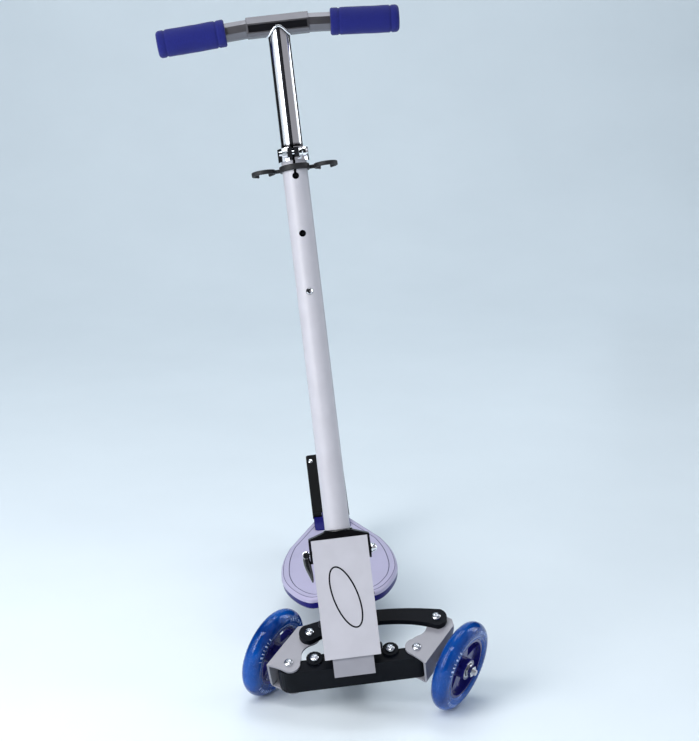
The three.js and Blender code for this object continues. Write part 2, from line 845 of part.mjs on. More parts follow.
function brakeBase() {
  const rear = deckFront + deckLength - gap;
  const low = deckTopHeight + gap;
  const half = brakeBaseHalf;
  const shape = new THREE.Shape();
  const corner = brakeBaseRound * 2;
  shape.moveTo(-half, rear);
  shape.lineTo(-half, rear - brakeBaseLength + corner);
  shape.quadraticCurveTo(-half, rear - brakeBaseLength, -half + corner, rear - brakeBaseLength);
  shape.lineTo(half - corner, rear - brakeBaseLength);
  shape.quadraticCurveTo(half, rear - brakeBaseLength, half, rear - brakeBaseLength + corner);
  shape.lineTo(half, rear);
  let body = plate(shape, low, low + brakeBaseHeight, 6);
  const front = rear - brakeBaseLength;
  const wedge = sidePlate([
    [front - overrun, low + brakeBaseHeight / 3],
    [front + brakeBaseLength / 2, low + brakeBaseHeight + gap],
    [front - overrun, low + brakeBaseHeight + gap],
  ], -half * 2, half * 2);
  body = body.subtract(wedge);
  const lugHalf = flapBarrelHalf - gap;
  const lug = new THREE.Shape();
  lug.moveTo(rear - overrun, low);
  lug.lineTo(flapPinY, flapPinZ - flapBarrelRadius);
  lug.absarc(flapPinY, flapPinZ, flapBarrelRadius, -Math.PI / 2, Math.PI / 2, false);
  lug.lineTo(rear - overrun, low + brakeBaseHeight);
  body = body.add(sidePlate(lug, -lugHalf, lugHalf));
  return body.subtract(crossBar(flapPinRadius + gap, -half * 2, half * 2, flapPinY, flapPinZ));
}

// The flap is modelled lying along +Y from its pin and tipped up where it is placed
function brakeFlap() {
  const half = flapWidth / 2;
  let body = crossBar(flapBarrelRadius, -half, half);
  const tip = flapLength - flapCorner;
  const blade = new THREE.Shape();
  blade.moveTo(-half, 0);
  blade.lineTo(-half, tip);
  blade.quadraticCurveTo(-half, flapLength, -half + flapCorner, flapLength);
  blade.lineTo(half - flapCorner, flapLength);
  blade.quadraticCurveTo(half, flapLength, half, tip);
  blade.lineTo(half, 0);
  body = body.add(plate(blade, -flapThickness / 2, flapThickness / 2, 4));
  // Room for the base's lug
  body = body.subtract(box(
    [-flapBarrelHalf, -flapBarrelRadius * 2, -flapBarrelRadius * 2],
    [flapBarrelHalf, flapBarrelRadius + airGap, flapBarrelRadius * 2],
  ));
  const pad = sidePlate([
    [padStart, 0],
    [padStart + padLength / 6, -flapThickness / 2 - padThickness],
    [padStart + padLength, -flapThickness / 2 - padThickness],
    [padStart + padLength * 7 / 6, 0],
  ], -tyreWidth / 2, tyreWidth / 2);
  body = body.add(pad);
  for (const side of [-1, 1]) {
    const skirt = sidePlate([
      [0, 0],
      [flapBarrelRadius, -flapSkirt],
      [tip, -flapThickness / 2 - gap],
      [tip, 0],
    ], half - forkSheet, half);
    body = body.add(side > 0 ? skirt : skirt.mirror([1, 0, 0]));
  }
  return body.subtract(crossBar(flapPinRadius + gap, -half * 2, half * 2));
}

function flapPin() {
  return crossBar(flapPinRadius, gap - flapWidth / 2, flapWidth / 2 - gap);
}

// Hinge block: bridge across the cover with two cheeks on the fold axis and a plug in the stem.
// Local axes of the stem: origin on the fold axis, Z along the stem.
function hingeBlock() {
  const inner = plateWidth / 2 + gap;
  const outer = inner + cheekSheet;
  const half = blockDepth / 2;
  // The saddle slopes down from the stem's foot to both cheeks
  const saddle = outlineShape([
    [-outer, blockBottom],
    [outer, blockBottom],
    [outer, blockShoulder],
    [blockCrownHalf, stemFoot - gap],
    [-blockCrownHalf, stemFoot - gap],
    [-outer, blockShoulder],
  ]);
  let body = plate(saddle, -half, half).rotate([90, 0, 0]);
  const cheek = new THREE.Shape();
  cheek.moveTo(-half, blockShoulder);
  cheek.lineTo(-cheekRadius, 0);
  cheek.absarc(0, 0, cheekRadius, Math.PI, Math.PI * 2, false);
  cheek.lineTo(half, blockShoulder);
  for (const [from, to] of [[-outer, -inner], [inner, outer]]) {
    body = body.add(sidePlate(cheek, from, to));
  }
  body = body.add(bar(stemRadius - stemWall - gap, stemFoot - overrun, stemFoot + plugLength));
  return body.subtract(crossBar(skewerRadius + gap, -outer * 2, outer * 2));
}

const clampReach = plateWidth / 2 + gap * 2 + cheekSheet;
const camMiddle = clampReach + camRadius;

// The skewer's thin left tail ends in a cross pin on which the lever's cam turns
function foldSkewer() {
  const tail = crossBar(skewerTailRadius, -camMiddle, overrun - clampReach);
  const pin = bar(camPinRadius, -camWidth / 2, camWidth / 2, small).rotate([90, 0, 0]);
  return crossBar(skewerRadius, -clampReach, clampReach + domeNutLength / 2)
    .add(tail)
    .add(pin.translate([-camMiddle, 0, 0]));
}

function foldBush() {
  const half = uprightWidth / 2 - uprightSheet - gap;
  return ring(bushRadius, skewerRadius + gap, -half, half, small).rotate([0, 90, 0]);
}

function foldNut() {
  const body = turned([
    [skewerRadius + gap, 0],
    [domeNutRadius, 0],
    [domeNutRadius, domeNutLength / 2],
    [domeNutRadius * domeShoulderShare, domeNutLength * domeShoulderShare],
    [domeNutRadius * domeCrownShare, domeNutLength],
    [0, domeNutLength],
    [0, domeNutLength / 2 + gap],
    [skewerRadius + gap, domeNutLength / 2 + gap],
  ], small);
  return body.rotate([0, 90, 0]).translate([clampReach, 0, 0]);
}

// Quick lever: its slotted cam turns on the skewer's cross pin and its blade hangs beside the cover
function foldLever() {
  let body = bar(camRadius, -camWidth / 2, camWidth / 2, small).rotate([90, 0, 0]);
  // Seen from the front the handle tapers to its tip; seen from the side it ends in a round
  const face = outlineShape([
    [camRadius / 2, -camRadius / 3],
    [-camRadius, -camRadius / 3],
    [-leverThickness, -leverLength / 2],
    [-leverTipThickness / 2, -leverLength - leverWidth / 3],
    [camRadius / 2, -leverLength - leverWidth / 3],
  ]);
  const blade = new THREE.Shape();
  blade.moveTo(-leverWidth / 2, 0);
  blade.lineTo(-leverWidth / 3, -leverLength);
  blade.absarc(0, -leverLength, leverWidth / 3, Math.PI, Math.PI * 2, false);
  blade.lineTo(leverWidth / 2, 0);
  const handle = plate(face, -leverWidth, leverWidth).rotate([90, 0, 0]);
  const paddle = sidePlate(blade, -leverLength, leverLength).intersect(handle);
  body = body.add(paddle.rotate([0, leverSplay, 0]));
  const slot = skewerTailRadius + gap;
  body = body.subtract(box([-camRadius * 2, -slot, -slot], [camRadius * 2, slot, camRadius * 2]));
  const bore = bar(camPinRadius + gap, -camWidth, camWidth, small).rotate([90, 0, 0]);
  return body.subtract(bore).translate([-camMiddle, 0, 0]);
}

// Stem tube with its slit, keyhole and two more holes in front
function stemTube() {
  const top = stemFoot + stemLength;
  let body = ring(stemRadius, stemRadius - stemWall, stemFoot, top, fine);
  for (let i = 0; i < 3; i += 1) {
    const hole = bar(holeRadius, 0, stemRadius * 2, small).rotate([90, 0, 0]);
    body = body.subtract(hole.translate([0, 0, stemFoot + buttonHeight + holeSpacing * i]));
  }
  const slitFoot = stemFoot + buttonHeight + holeSpacing * 2;
  return body.subtract(box([-slitWidth / 2, -stemRadius * 2, slitFoot], [slitWidth / 2, 0, top + overrun]));
}

function riserTube(sleeveClearance) {
  const top = stemFoot + sleeveHeight;
  const foot = stemFoot + riserTail - collarHeight;
  let body = ring(riserRadius, riserRadius - riserWall, foot, top, fine);
  const hole = bar(holeRadius, 0, stemRadius * 2, small).rotate([90, 0, 0]);
  body = body.subtract(hole.translate([0, 0, stemFoot + buttonHeight]));
  return body.subtract(sleeveClearance.translate([0, 0, top]));
}

// Snap button with its flange inside the riser
function snapButton() {
  const inside = riserRadius - riserWall - gap;
  const tip = stemRadius + buttonProud;
  const body = turned([
    [0, inside - buttonFlange * 2],
    [buttonFlangeRadius, inside - buttonFlange * 2],
    [buttonFlangeRadius, inside - buttonFlange],
    [buttonRadius, inside - buttonFlange],
    [buttonRadius, tip - buttonRadius / 2],
    [buttonRadius * buttonCrownShare, tip - buttonRadius / 8],
    [0, tip],
  ], small);
  const roomy = ring(riserRadius * 2, riserRadius - riserWall - gap, -riserRadius, riserRadius, fine);
  const flange = body.rotate([90, 0, 0]);
  const shaft = bar(buttonRadius, 0, tip * 2, small).rotate([90, 0, 0]);
  return flange.subtract(roomy.subtract(shaft)).translate([0, 0, stemFoot + buttonHeight]);
}

// Bent strip spring inside the riser, behind the button
function buttonSpring() {
  const back = Math.sqrt((riserRadius - riserWall) ** 2 - (springWidth / 2) ** 2) - gap;
  const strip = new THREE.Shape();
  const foot = -springLength;
  const front = buttonFlange * 2 + gap - (riserRadius - riserWall - gap);
  const bend = (back - front) / 6;
  strip.moveTo(back, 0);
  strip.lineTo(back, foot + bend);
  strip.quadraticCurveTo(back, foot, back - bend, foot);
  strip.quadraticCurveTo(back - bend * 2, foot, back - bend * 2, foot + bend);
  strip.lineTo(front, -springSheet);
  strip.lineTo(front, buttonRadius);
  strip.lineTo(front + springSheet, buttonRadius);
  strip.lineTo(front + springSheet, 0);
  strip.lineTo(back - bend * 2 + springSheet, foot + bend + springSheet);
  const innerFoot = foot + springSheet;
  strip.quadraticCurveTo(back - bend * 2 + springSheet, innerFoot, back - bend, innerFoot);
  strip.quadraticCurveTo(back - springSheet, foot + springSheet, back - springSheet, foot + bend);
  strip.lineTo(back - springSheet, 0);
  return sidePlate(strip, -springWidth / 2, springWidth / 2).translate([0, 0, stemFoot + buttonHeight]);
}

// Clamp collar: split ring with two lugs in front of the tube
const collarFoot = stemFoot + stemLength - collarHeight + collarTopShy;
const lugAxis = stemRadius + collarWall + lugReach / 2;

function clampCollar() {
  const inner = stemRadius + gap;
  const outer = inner + collarWall;
  let body = ring(outer, inner, collarFoot, collarFoot + collarHeight, round);
  const reach = outer + lugReach;
  for (const side of [-1, 1]) {
    const near = lugSlit / 2;
    const far = near + lugWidth;
    const lug = box(
      [near, -reach + lugReach / 4, collarFoot + collarHeight / 8],
      [far, -inner, collarFoot + collarHeight * 7 / 8],
    );
    body = body.add(side > 0 ? lug : lug.mirror([1, 0, 0]));
  }
  body = body.subtract(bar(inner, collarFoot - overrun, collarFoot + collarHeight + overrun, round));
  const slit = box(
    [-lugSlit / 2, -reach * 2, collarFoot - overrun],
    [lugSlit / 2, 0, collarFoot + collarHeight + overrun],
  );
  const middle = collarFoot + collarHeight / 2;
  body = body.subtract(slit);
  return body.subtract(crossBar(clampBoltRadius + gap, -reach, reach, -lugAxis, middle));
}

function clampBolt() {
  const face = lugSlit / 2 + lugWidth + gap;
  const from = face + clampWasherLength;
  const head = turned([
    [0, from],
    [clampHeadRadius * clampEdgeShare, from],
    [clampHeadRadius, from + clampHeadLength / 4],
    [clampHeadRadius, from + clampHeadLength * clampEdgeShare],
    [clampHeadRadius * clampEdgeShare, from + clampHeadLength],
    [headDishRadius, from + clampHeadLength],
    [headDishRadius, from + clampHeadLength - headDishDepth],
    [0, from + clampHeadLength - headDishDepth],
  ], small);
  return head
    .add(bar(clampWasherRadius, face, from + overrun, small))
    .add(bar(clampBoltRadius, -face - clampNutLength - threadReach, from + overrun, small))
    .rotate([0, 90, 0])
    .translate([0, -lugAxis, collarFoot + collarHeight / 2]);
}

function clampNut() {
  const face = lugSlit / 2 + lugWidth + gap;
  return turned([
    [clampBoltRadius + gap, -face - clampNutLength],
    [clampNutRadius * clampRimShare, -face - clampNutLength],
    [clampNutRadius, -face - clampNutLength * 3 / 4],
    [clampNutRadius, -face],
    [clampBoltRadius + gap, -face],
  ], small).rotate([0, 90, 0]).translate([0, -lugAxis, collarFoot + collarHeight / 2]);
}

// Grip holder: a ring round the stem with an arm on each side and a clip that opens to the rear
function gripHolder() {
  const inner = stemRadius + gap;
  const outer = inner + holderWall;
  const top = collarFoot - holderDrop / 3;
  const foot = top - holderHeight;
  let body = ring(outer, inner, foot, top, round);
  for (const side of [-1, 1]) {
    const arm = box(
      [outer - holderWall / 2, -holderArm / 2, foot + holderHeight / 5],
      [clipCentre - clipBore - gap, holderArm / 2, top - holderHeight / 8],
    );
    let clip = ring(clipRadius, clipBore, foot, top - holderHeight / 8, round);
    const mouth = clipBore * clipMouthShare;
    clip = clip.subtract(box([-mouth, 0, foot - overrun], [mouth, clipRadius * 2, top + overrun]));
    const wing = arm.add(clip.translate([clipCentre, 0, 0]));
    body = body.add(side > 0 ? wing : wing.mirror([1, 0, 0]));
  }
  return body.subtract(bar(inner, foot - overrun, top + overrun, round));
}

// T-bar sleeve: eight-sided bar with a socket in each end and a recess for the black strip in front.
// Local axes: X along the bar, Z along the stem.
function alongBar(body) {
  return body.rotate([0, 90, 0]);
}

function eightSided(width, from, to) {
  return alongBar(flats(width, from, to, 8, Math.PI / 8)).scale([1, barDepthShare, 1]);
}

function tippedAboutSocket(body, side) {
  return body
    .translate([-side * socketMiddle, 0, 0])
    .rotate([0, side * handleDroop, 0])
    .translate([side * socketMiddle, 0, 0]);
}

function barSleeve() {
  const half = sleeveLength / 2;
  let body = eightSided(sleeveWidth, -half, half);
  for (const side of [-1, 1]) {
    const socket = eightSided(socketWidth, stubInner - gap, half * 2);
    body = body.subtract(tippedAboutSocket(side > 0 ? socket : socket.mirror([1, 0, 0]), side));
  }
  const trimStart = -half + (sleeveLength - trimLength) / 2;
  const face = -sleeveWidth / 2 * barDepthShare;
  return body.subtract(box(
    [trimStart, -sleeveWidth, -trimWidth / 2],
    [trimStart + trimLength, face + trimDepth, trimWidth / 2],
  ));
}

function sleeveTrim() {
  const start = -trimLength / 2 + gap;
  const face = -sleeveWidth / 2 * barDepthShare;
  const back = face + trimDepth - gap;
  return box(
    [start, face + gap / 3, -trimWidth / 2 + gap],
    [start + trimLength - gap * 2, back, trimWidth / 2 - gap],
  );
}

function handleStub(side) {
  const body = eightSided(stubWidth, stubInner, stubOuter);
  return tippedAboutSocket(side > 0 ? body : body.mirror([1, 0, 0]), side);
}

function grip(side) {
  const bore = stubWidth / 2 / Math.cos(Math.PI / 8) + gap;
  const outline = [[bore, gripInner]];
  const quarter = 4;
  for (let i = 0; i <= quarter; i += 1) {
    const angle = Math.PI / 2 * (1 - i / quarter);
    outline.push([
      gripRadius - gripEndRound / 2 * (1 - Math.cos(angle)),
      gripInner + gripEndRound / 2 * (1 - Math.sin(angle)),
    ]);
  }
  for (const middle of [gripInner + gripGrooveInset, gripOuter - gripGrooveInset]) {
    outline.push(
      [gripRadius, middle - gripGrooveWidth / 2],
      [gripRadius - gripGrooveDepth, middle],
      [gripRadius, middle + gripGrooveWidth / 2],
    );
  }
  for (let i = 0; i <= quarter; i += 1) {
    const angle = Math.PI / 2 * i / quarter;
    outline.push([
      gripRadius - gripEndRound * (1 - Math.cos(angle)),
      gripOuter - gripEndRound * (1 - Math.sin(angle)),
    ]);
  }
  const capInside = Math.max(stubOuter + gap, gripInner + gripEndRound);
  outline.push([0, gripOuter], [0, capInside], [bore, capInside]);
  const body = alongBar(turned(outline, round));
  return tippedAboutSocket(side > 0 ? body : body.mirror([1, 0, 0]), side);
}

// Frames of the raked and tilted groups, all inside the upright body frame
const body = new THREE.Group();

const truck = new THREE.Group();
truck.rotation.x = radians(kingpinTilt);

const sheetFrame = new THREE.Group();
sheetFrame.position.set(0, -plateFootForward, plateFootHeight);
sheetFrame.rotation.x = -rake;

const stem = new THREE.Group();
stem.position.set(0, pivotSetback, pivotHeight);
stem.rotation.x = -rake;

const crossbar = new THREE.Group();
crossbar.position.set(0, 0, stemFoot + sleeveHeight);

body.add(truck, sheetFrame, stem);
stem.add(crossbar);

// Space that the beam needs, in the truck's frame and in the frames of its neighbours
function beamSpace() {
  const half = kingpinHalfSpacing;
  return box(
    [-half, -beamHalfWidth - gap, floorLevel - gap],
    [half, beamMiddleBack + gap, plateLevel + gap],
  );
}

function asManifoldMatrix(matrix) {
  return matrix.elements.slice();
}

function frameMatrix(group) {
  group.updateMatrix();
  return group.matrix.clone();
}

const truckToBody = frameMatrix(truck);
const beamPlacing = asManifoldMatrix(truckToBody);
const bodyToSheet = frameMatrix(sheetFrame).invert();
const truckToSheet = bodyToSheet.clone().multiply(truckToBody);

truck.add(
  named('crossbeam', crossbeam(), 'blackPaint'),
  named('boss_bolt_left', bossBolt(-1), 'zinc'),
  named('boss_bolt_right', bossBolt(1), 'zinc'),
  named('kingpin_left', kingpin(-1), 'zinc'),
  named('kingpin_right', kingpin(1), 'zinc'),
);

const sides = [['left', -1], ['right', 1]];

for (const [word, side] of sides) {
  const turnGroup = new THREE.Group();
  turnGroup.position.set(side * kingpinHalfSpacing, 0, 0);
  turnGroup.rotation.z = -radians(stopTurn);
  turnGroup.add(
    named(`knuckle_${word}`, knuckle(side), 'whitePaint'),
    named(`tie_bolt_${word}`, tieBolt(), 'zinc'),
  );
  const wheel = new THREE.Group();
  wheel.position.set(side * wheelOffset, wheelTrail, -axleDrop);
  wheel.rotation.y = side * Math.PI / 2;
  wheel.add(
    named(`axle_${word}`, frontAxle(), 'steel'),
    named(`axle_spacer_${word}`, spacer(), 'zinc'),
    named(`hub_${word}`, hub(frontWheelRadius), 'hub'),
    named(`tyre_${word}`, tyre(frontWheelRadius), 'tyre'),
    named(`bearing_inner_${word}`, bearing(-1), 'steel'),
    named(`bearing_outer_${word}`, bearing(1), 'steel'),
    named(`axle_nut_${word}`, axleNut(), 'zinc'),
  );
  turnGroup.add(wheel);
  truck.add(turnGroup);
}

const rod = named('tie_rod', tieRod(), 'blackPaint');
rod.position.set(
  armLength * Math.sin(radians(stopTurn)),
  armLength * Math.cos(radians(stopTurn)),
  0,
);
truck.add(rod);

sheetFrame.add(
  named('front_cover', coverPlate(), 'whitePaint'),
  named('front_upright', upright(beamSpace().transform(asManifoldMatrix(truckToSheet))), 'whitePaint'),
  named('cover_screw_upper', coverScrew(-1, upperScrewHeight), 'blackPaint'),
  named('cover_screw_lower', coverScrew(1, lowerScrewHeight), 'blackPaint'),
);

// Lean: both front tyres touch the ground, and the rear axle's height follows
function lowestOfWheel(centre, axle, radius, lean) {
  const worldHeight = centre.x * Math.sin(lean) + centre.z * Math.cos(lean);
  const axleRise = axle.x * Math.sin(lean) + axle.z * Math.cos(lean);
  const tread = radius - tyreCrownRadius;
  return worldHeight - tread * Math.sqrt(1 - axleRise ** 2) - tyreCrownRadius;
}

function frontWheelPlace(side) {
  const turnAngle = radians(stopTurn);
  const along = new THREE.Vector3(Math.sin(turnAngle), Math.cos(turnAngle), 0);
  const across = new THREE.Vector3(Math.cos(turnAngle), -Math.sin(turnAngle), 0);
  const centre = new THREE.Vector3(side * kingpinHalfSpacing, 0, -axleDrop);
  centre.addScaledVector(along, wheelTrail).addScaledVector(across, side * wheelOffset);
  return [centre.applyMatrix4(truckToBody), across.transformDirection(truckToBody)];
}

function leanOnStop() {
  const [leftCentre, leftAxle] = frontWheelPlace(-1);
  const [rightCentre, rightAxle] = frontWheelPlace(1);
  let low = 0;
  let high = Math.PI / 6;
  for (let i = 0; i < 60; i += 1) {
    const lean = (low + high) / 2;
    const left = lowestOfWheel(leftCentre, leftAxle, frontWheelRadius, lean);
    const right = lowestOfWheel(rightCentre, rightAxle, frontWheelRadius, lean);
    if (left > right) {
      low = lean;
    } else {
      high = lean;
    }
  }
  return low;
}

const lean = leanOnStop();
const [leftWheelCentre, leftWheelAxle] = frontWheelPlace(-1);
const ground = lowestOfWheel(leftWheelCentre, leftWheelAxle, frontWheelRadius, lean);
const rearTread = rearWheelRadius - tyreCrownRadius;
const rearDrop = rearTread * Math.sqrt(1 - Math.sin(lean) ** 2) + tyreCrownRadius;
const rearAxleHeight = (ground + rearDrop) / Math.cos(lean);

body.add(
  named('neck', neck(beamSpace().transform(beamPlacing), beamPlacing), 'blackPaint'),
  named('deck_base', deckBase(), 'deckBase'),
  named('deck_top', deckTop(), 'deckTop'),
  named('rear_fork', rearFork(rearAxleHeight), 'blackPaint'),
  named('brake_base', brakeBase(), 'deckBase'),
);

const rearWheel = new THREE.Group();
rearWheel.position.set(0, rearAxleSetback, rearAxleHeight);
const rearRoll = new THREE.Group();
rearRoll.rotation.y = Math.PI / 2;
rearRoll.add(
  named('hub_rear', hub(rearWheelRadius), 'hub'),
  named('tyre_rear', tyre(rearWheelRadius), 'tyre'),
  named('bearing_rear_left', bearing(-1), 'steel'),
  named('bearing_rear_right', bearing(1), 'steel'),
);
rearWheel.add(
  rearRoll,
  named('rear_axle', rearAxle(), 'steel'),
  named('rear_axle_nut', rearAxleNut(), 'zinc'),
);
body.add(rearWheel);

const flapFrame = new THREE.Group();
flapFrame.position.set(0, flapPinY, flapPinZ);
const flapTilt = new THREE.Group();
flapTilt.rotation.x = radians(flapAngle);
flapTilt.add(named('brake_flap', brakeFlap(), 'blackPlastic'));
flapFrame.add(flapTilt, named('brake_pin', flapPin(), 'steel'));
body.add(flapFrame);

stem.add(
  named('fold_skewer', foldSkewer(), 'chrome'),
  named('fold_bush', foldBush(), 'steel'),
  named('fold_nut', foldNut(), 'chrome'),
  named('fold_lever', foldLever(), 'chrome'),
  named('hinge_block', hingeBlock(), 'blackPlastic'),
  named('stem_tube', stemTube(), 'whitePaint'),
  named('clamp_collar', clampCollar(), 'chrome'),
  named('clamp_bolt', clampBolt(), 'chrome'),
  named('clamp_nut', clampNut(), 'chrome'),
  named('grip_holder', gripHolder(), 'blackPlastic'),
  named('riser_tube', riserTube(eightSided(sleeveWidth + gap * 2, -sleeveLength, sleeveLength)), 'chrome'),
  named('height_button', snapButton(), 'chrome'),
  named('button_spring', buttonSpring(), 'steel'),
);

crossbar.add(
  named('bar_sleeve', barSleeve(), 'aluminium'),
  named('sleeve_strip', sleeveTrim(), 'blackPlastic'),
);
for (const [word, side] of sides) {
  crossbar.add(
    named(`handle_${word}`, handleStub(side), 'aluminium'),
    named(`grip_${word}`, grip(side), 'foam'),
  );
}

// The whole scooter leans on its stop and stands on the ground, centred under its own box
const scooter = new THREE.Group();
body.rotation.y = -lean;
scooter.add(body);
scooter.updateMatrixWorld(true);
const bounds = new THREE.Box3().setFromObject(scooter, true);
body.position.set(
  -(bounds.min.x + bounds.max.x) / 2,
  -(bounds.min.y + bounds.max.y) / 2,
  -bounds.min.z,
);

export default scooter;
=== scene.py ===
import json
import math

import bmesh
import bpy
from mathutils import Matrix, Quaternion, Vector


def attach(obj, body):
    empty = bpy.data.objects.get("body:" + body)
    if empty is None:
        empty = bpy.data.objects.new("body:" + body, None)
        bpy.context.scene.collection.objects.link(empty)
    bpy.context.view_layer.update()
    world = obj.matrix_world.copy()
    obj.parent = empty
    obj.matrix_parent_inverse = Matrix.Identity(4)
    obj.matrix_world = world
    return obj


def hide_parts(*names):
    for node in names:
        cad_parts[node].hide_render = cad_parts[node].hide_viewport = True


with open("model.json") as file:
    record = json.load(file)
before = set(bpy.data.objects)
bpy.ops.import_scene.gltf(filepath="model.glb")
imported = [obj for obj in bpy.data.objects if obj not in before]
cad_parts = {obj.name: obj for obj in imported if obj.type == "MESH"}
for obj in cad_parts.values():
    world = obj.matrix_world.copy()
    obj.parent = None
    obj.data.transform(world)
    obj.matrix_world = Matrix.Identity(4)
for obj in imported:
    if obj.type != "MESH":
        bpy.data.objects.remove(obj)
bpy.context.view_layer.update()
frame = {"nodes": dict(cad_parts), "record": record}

nodes = frame["nodes"]
record = frame["record"]
MM = 0.001


# Materials

class Shader:
    """A node tree with short calls for the nodes used here."""

    def __init__(self, name):
        self.material = bpy.data.materials.new(name)
        self.material.use_nodes = True
        self.tree = self.material.node_tree
        self.bsdf = self.tree.nodes["Principled BSDF"]
        self.coords = self.tree.nodes.new("ShaderNodeTexCoord").outputs["Object"]

    def link(self, a, b):
        self.tree.links.new(a, b)

    def new(self, kind, **props):
        node = self.tree.nodes.new(kind)
        for key, value in props.items():
            setattr(node, key, value)
        return node

    def set(self, **values):
        names = {
            "metal": "Metallic", "coat": "Coat Weight", "coat_rough": "Coat Roughness",
            "trans": "Transmission Weight", "ior": "IOR", "sheen": "Sheen Weight",
            "sheen_rough": "Sheen Roughness", "spec": "Specular IOR Level",
        }
        for key, value in values.items():
            self.bsdf.inputs[names[key]].default_value = value
        return self

    def scaled(self, scale):
        mapping = self.new("ShaderNodeMapping")
        mapping.inputs["Scale"].default_value = scale
        self.link(self.coords, mapping.inputs["Vector"])
        return mapping.outputs["Vector"]

    def noise(self, scale, detail=2.0, stretch=None):
        node = self.new("ShaderNodeTexNoise")
        node.inputs["Scale"].default_value = scale
        node.inputs["Detail"].default_value = detail
        self.link(self.scaled(stretch) if stretch else self.coords, node.inputs["Vector"])
        return node.outputs["Fac"]

    def cells(self, scale):
        node = self.new("ShaderNodeTexVoronoi")
        node.inputs["Scale"].default_value = scale
        self.link(self.coords, node.inputs["Vector"])
        return node.outputs["Distance"]

    def ramp(self, value, stops):
        node = self.new("ShaderNodeValToRGB")
        ramp = node.color_ramp
        while len(ramp.elements) > 1:
            ramp.elements.remove(ramp.elements[-1])
        ramp.elements[0].position, ramp.elements[0].color = stops[0][0], (*stops[0][1], 1)
        for position, colour in stops[1:]:
            ramp.elements.new(position).color = (*colour, 1)
        self.link(value, node.inputs["Fac"])
        return node.outputs["Color"]

    def spread(self, value, low, high, start=0.0, end=1.0):
        node = self.new("ShaderNodeMapRange")
        node.inputs["From Min"].default_value = start
        node.inputs["From Max"].default_value = end
        node.inputs["To Min"].default_value = low
        node.inputs["To Max"].default_value = high
        self.link(value, node.inputs["Value"])
        return node.outputs["Result"]

    def mix(self, factor, a, b):
        node = self.new("ShaderNodeMix", data_type="RGBA")
        self.link(factor, node.inputs["Factor"])
        for socket, value in ((node.inputs["A"], a), (node.inputs["B"], b)):
            if isinstance(value, tuple):
                socket.default_value = (*value, 1)
            else:
                self.link(value, socket)
        return node.outputs["Result"]

    def math(self, kind, a, b=None):
        node = self.new("ShaderNodeMath", operation=kind)
        for socket, value in zip(node.inputs, (a, b)):
            if value is None:
                continue
            if isinstance(value, (int, float)):
                socket.default_value = value
            else:
                self.link(value, socket)
        return node.outputs["Value"]

    def bump(self, height, distance, strength=1.0, after=None):
        node = self.new("ShaderNodeBump")
        node.inputs["Distance"].default_value = distance
        node.inputs["Strength"].default_value = strength
        self.link(height, node.inputs["Height"])
        if after is not None:
            self.link(after, node.inputs["Normal"])
        return node.outputs["Normal"]

    def wear(self, normal):
        self.link(normal, self.bsdf.inputs["Normal"])

    def colour(self, value):
        self.link(value, self.bsdf.inputs["Base Color"])

    def roughness(self, value):
        self.link(value, self.bsdf.inputs["Roughness"])


def tinted(s, colour, amount, scale):
    """Base colour that wanders a little in lightness."""
    dark = tuple(c * (1 - amount) for c in colour)
    light = tuple(min(1.0, c * (1 + amount)) for c in colour)
    s.colour(s.ramp(s.noise(scale, 3.0), [(0.3, dark), (0.7, light)]))


def powder_coat(name, colour, rough=0.32, peel=0.00006, coat=0.25):
    s = Shader(name).set(coat=coat, coat_rough=0.12)
    tinted(s, colour, 0.035, 40)
    s.roughness(s.spread(s.noise(300, 2.0), rough - 0.06, rough + 0.08))
    s.wear(s.bump(s.noise(700, 2.0), peel, 0.6))
    return s.material


def moulded(name, colour, rough=0.42, grain=0.00008, coat=0.0, spec=0.5):
    s = Shader(name).set(coat=coat, coat_rough=0.08, spec=spec)
    tinted(s, colour, 0.12, 60)
    s.roughness(s.spread(s.noise(220, 3.0), rough - 0.08, rough + 0.1))
    s.wear(s.bump(s.cells(1800), grain, 0.5))
    return s.material


def polished(name, colour, rough=0.05):
    s = Shader(name).set(metal=1.0)
    tinted(s, colour, 0.03, 30)
    s.roughness(s.spread(s.noise(160, 4.0), rough * 0.6, rough * 1.8))
    s.wear(s.bump(s.noise(60, 2.0), 0.00002, 0.4))
    return s.material


def chrome_with_painted_shade(name, colour, rough):
    """Polished metal with painted shade: its colour goes dark where another tube stands close over it."""
    s = Shader(name).set(metal=1.0)
    shade = s.new("ShaderNodeAmbientOcclusion", samples=12)
    shade.inputs["Distance"].default_value = 0.007
    unshaded_share = s.spread(shade.outputs["AO"], 0.0, 1.0, 0.86, 0.98)
    s.colour(s.mix(unshaded_share, (0.012, 0.012, 0.014), colour))
    s.roughness(s.spread(s.noise(160, 4.0), rough * 0.6, rough * 1.8))
    s.wear(s.bump(s.noise(60, 2.0), 0.00002, 0.4))
    return s.material


def brushed(name, colour, rough=0.3, stretch=(20, 900, 900)):
    s = Shader(name).set(metal=1.0)
    tinted(s, colour, 0.06, 50)
    lines = s.noise(1.0, 3.0, stretch=stretch)
    s.roughness(s.spread(lines, rough - 0.08, rough + 0.12))
    s.wear(s.bump(lines, 0.00003, 0.5))
    return s.material


def foam(name, colour):
    s = Shader(name).set(sheen=0.12, sheen_rough=0.5, spec=0.2)
    pores = s.cells(1100)
    fine = s.noise(2600, 2.0)
    dark = tuple(c * 0.55 for c in colour)
    s.colour(s.mix(s.spread(pores, 0.0, 1.0, 0.1, 0.55), dark, colour))
    s.roughness(s.spread(fine, 0.8, 0.98))
    s.wear(s.bump(fine, 0.0002, 0.8, after=s.bump(pores, 0.0003, 0.8)))
    return s.material


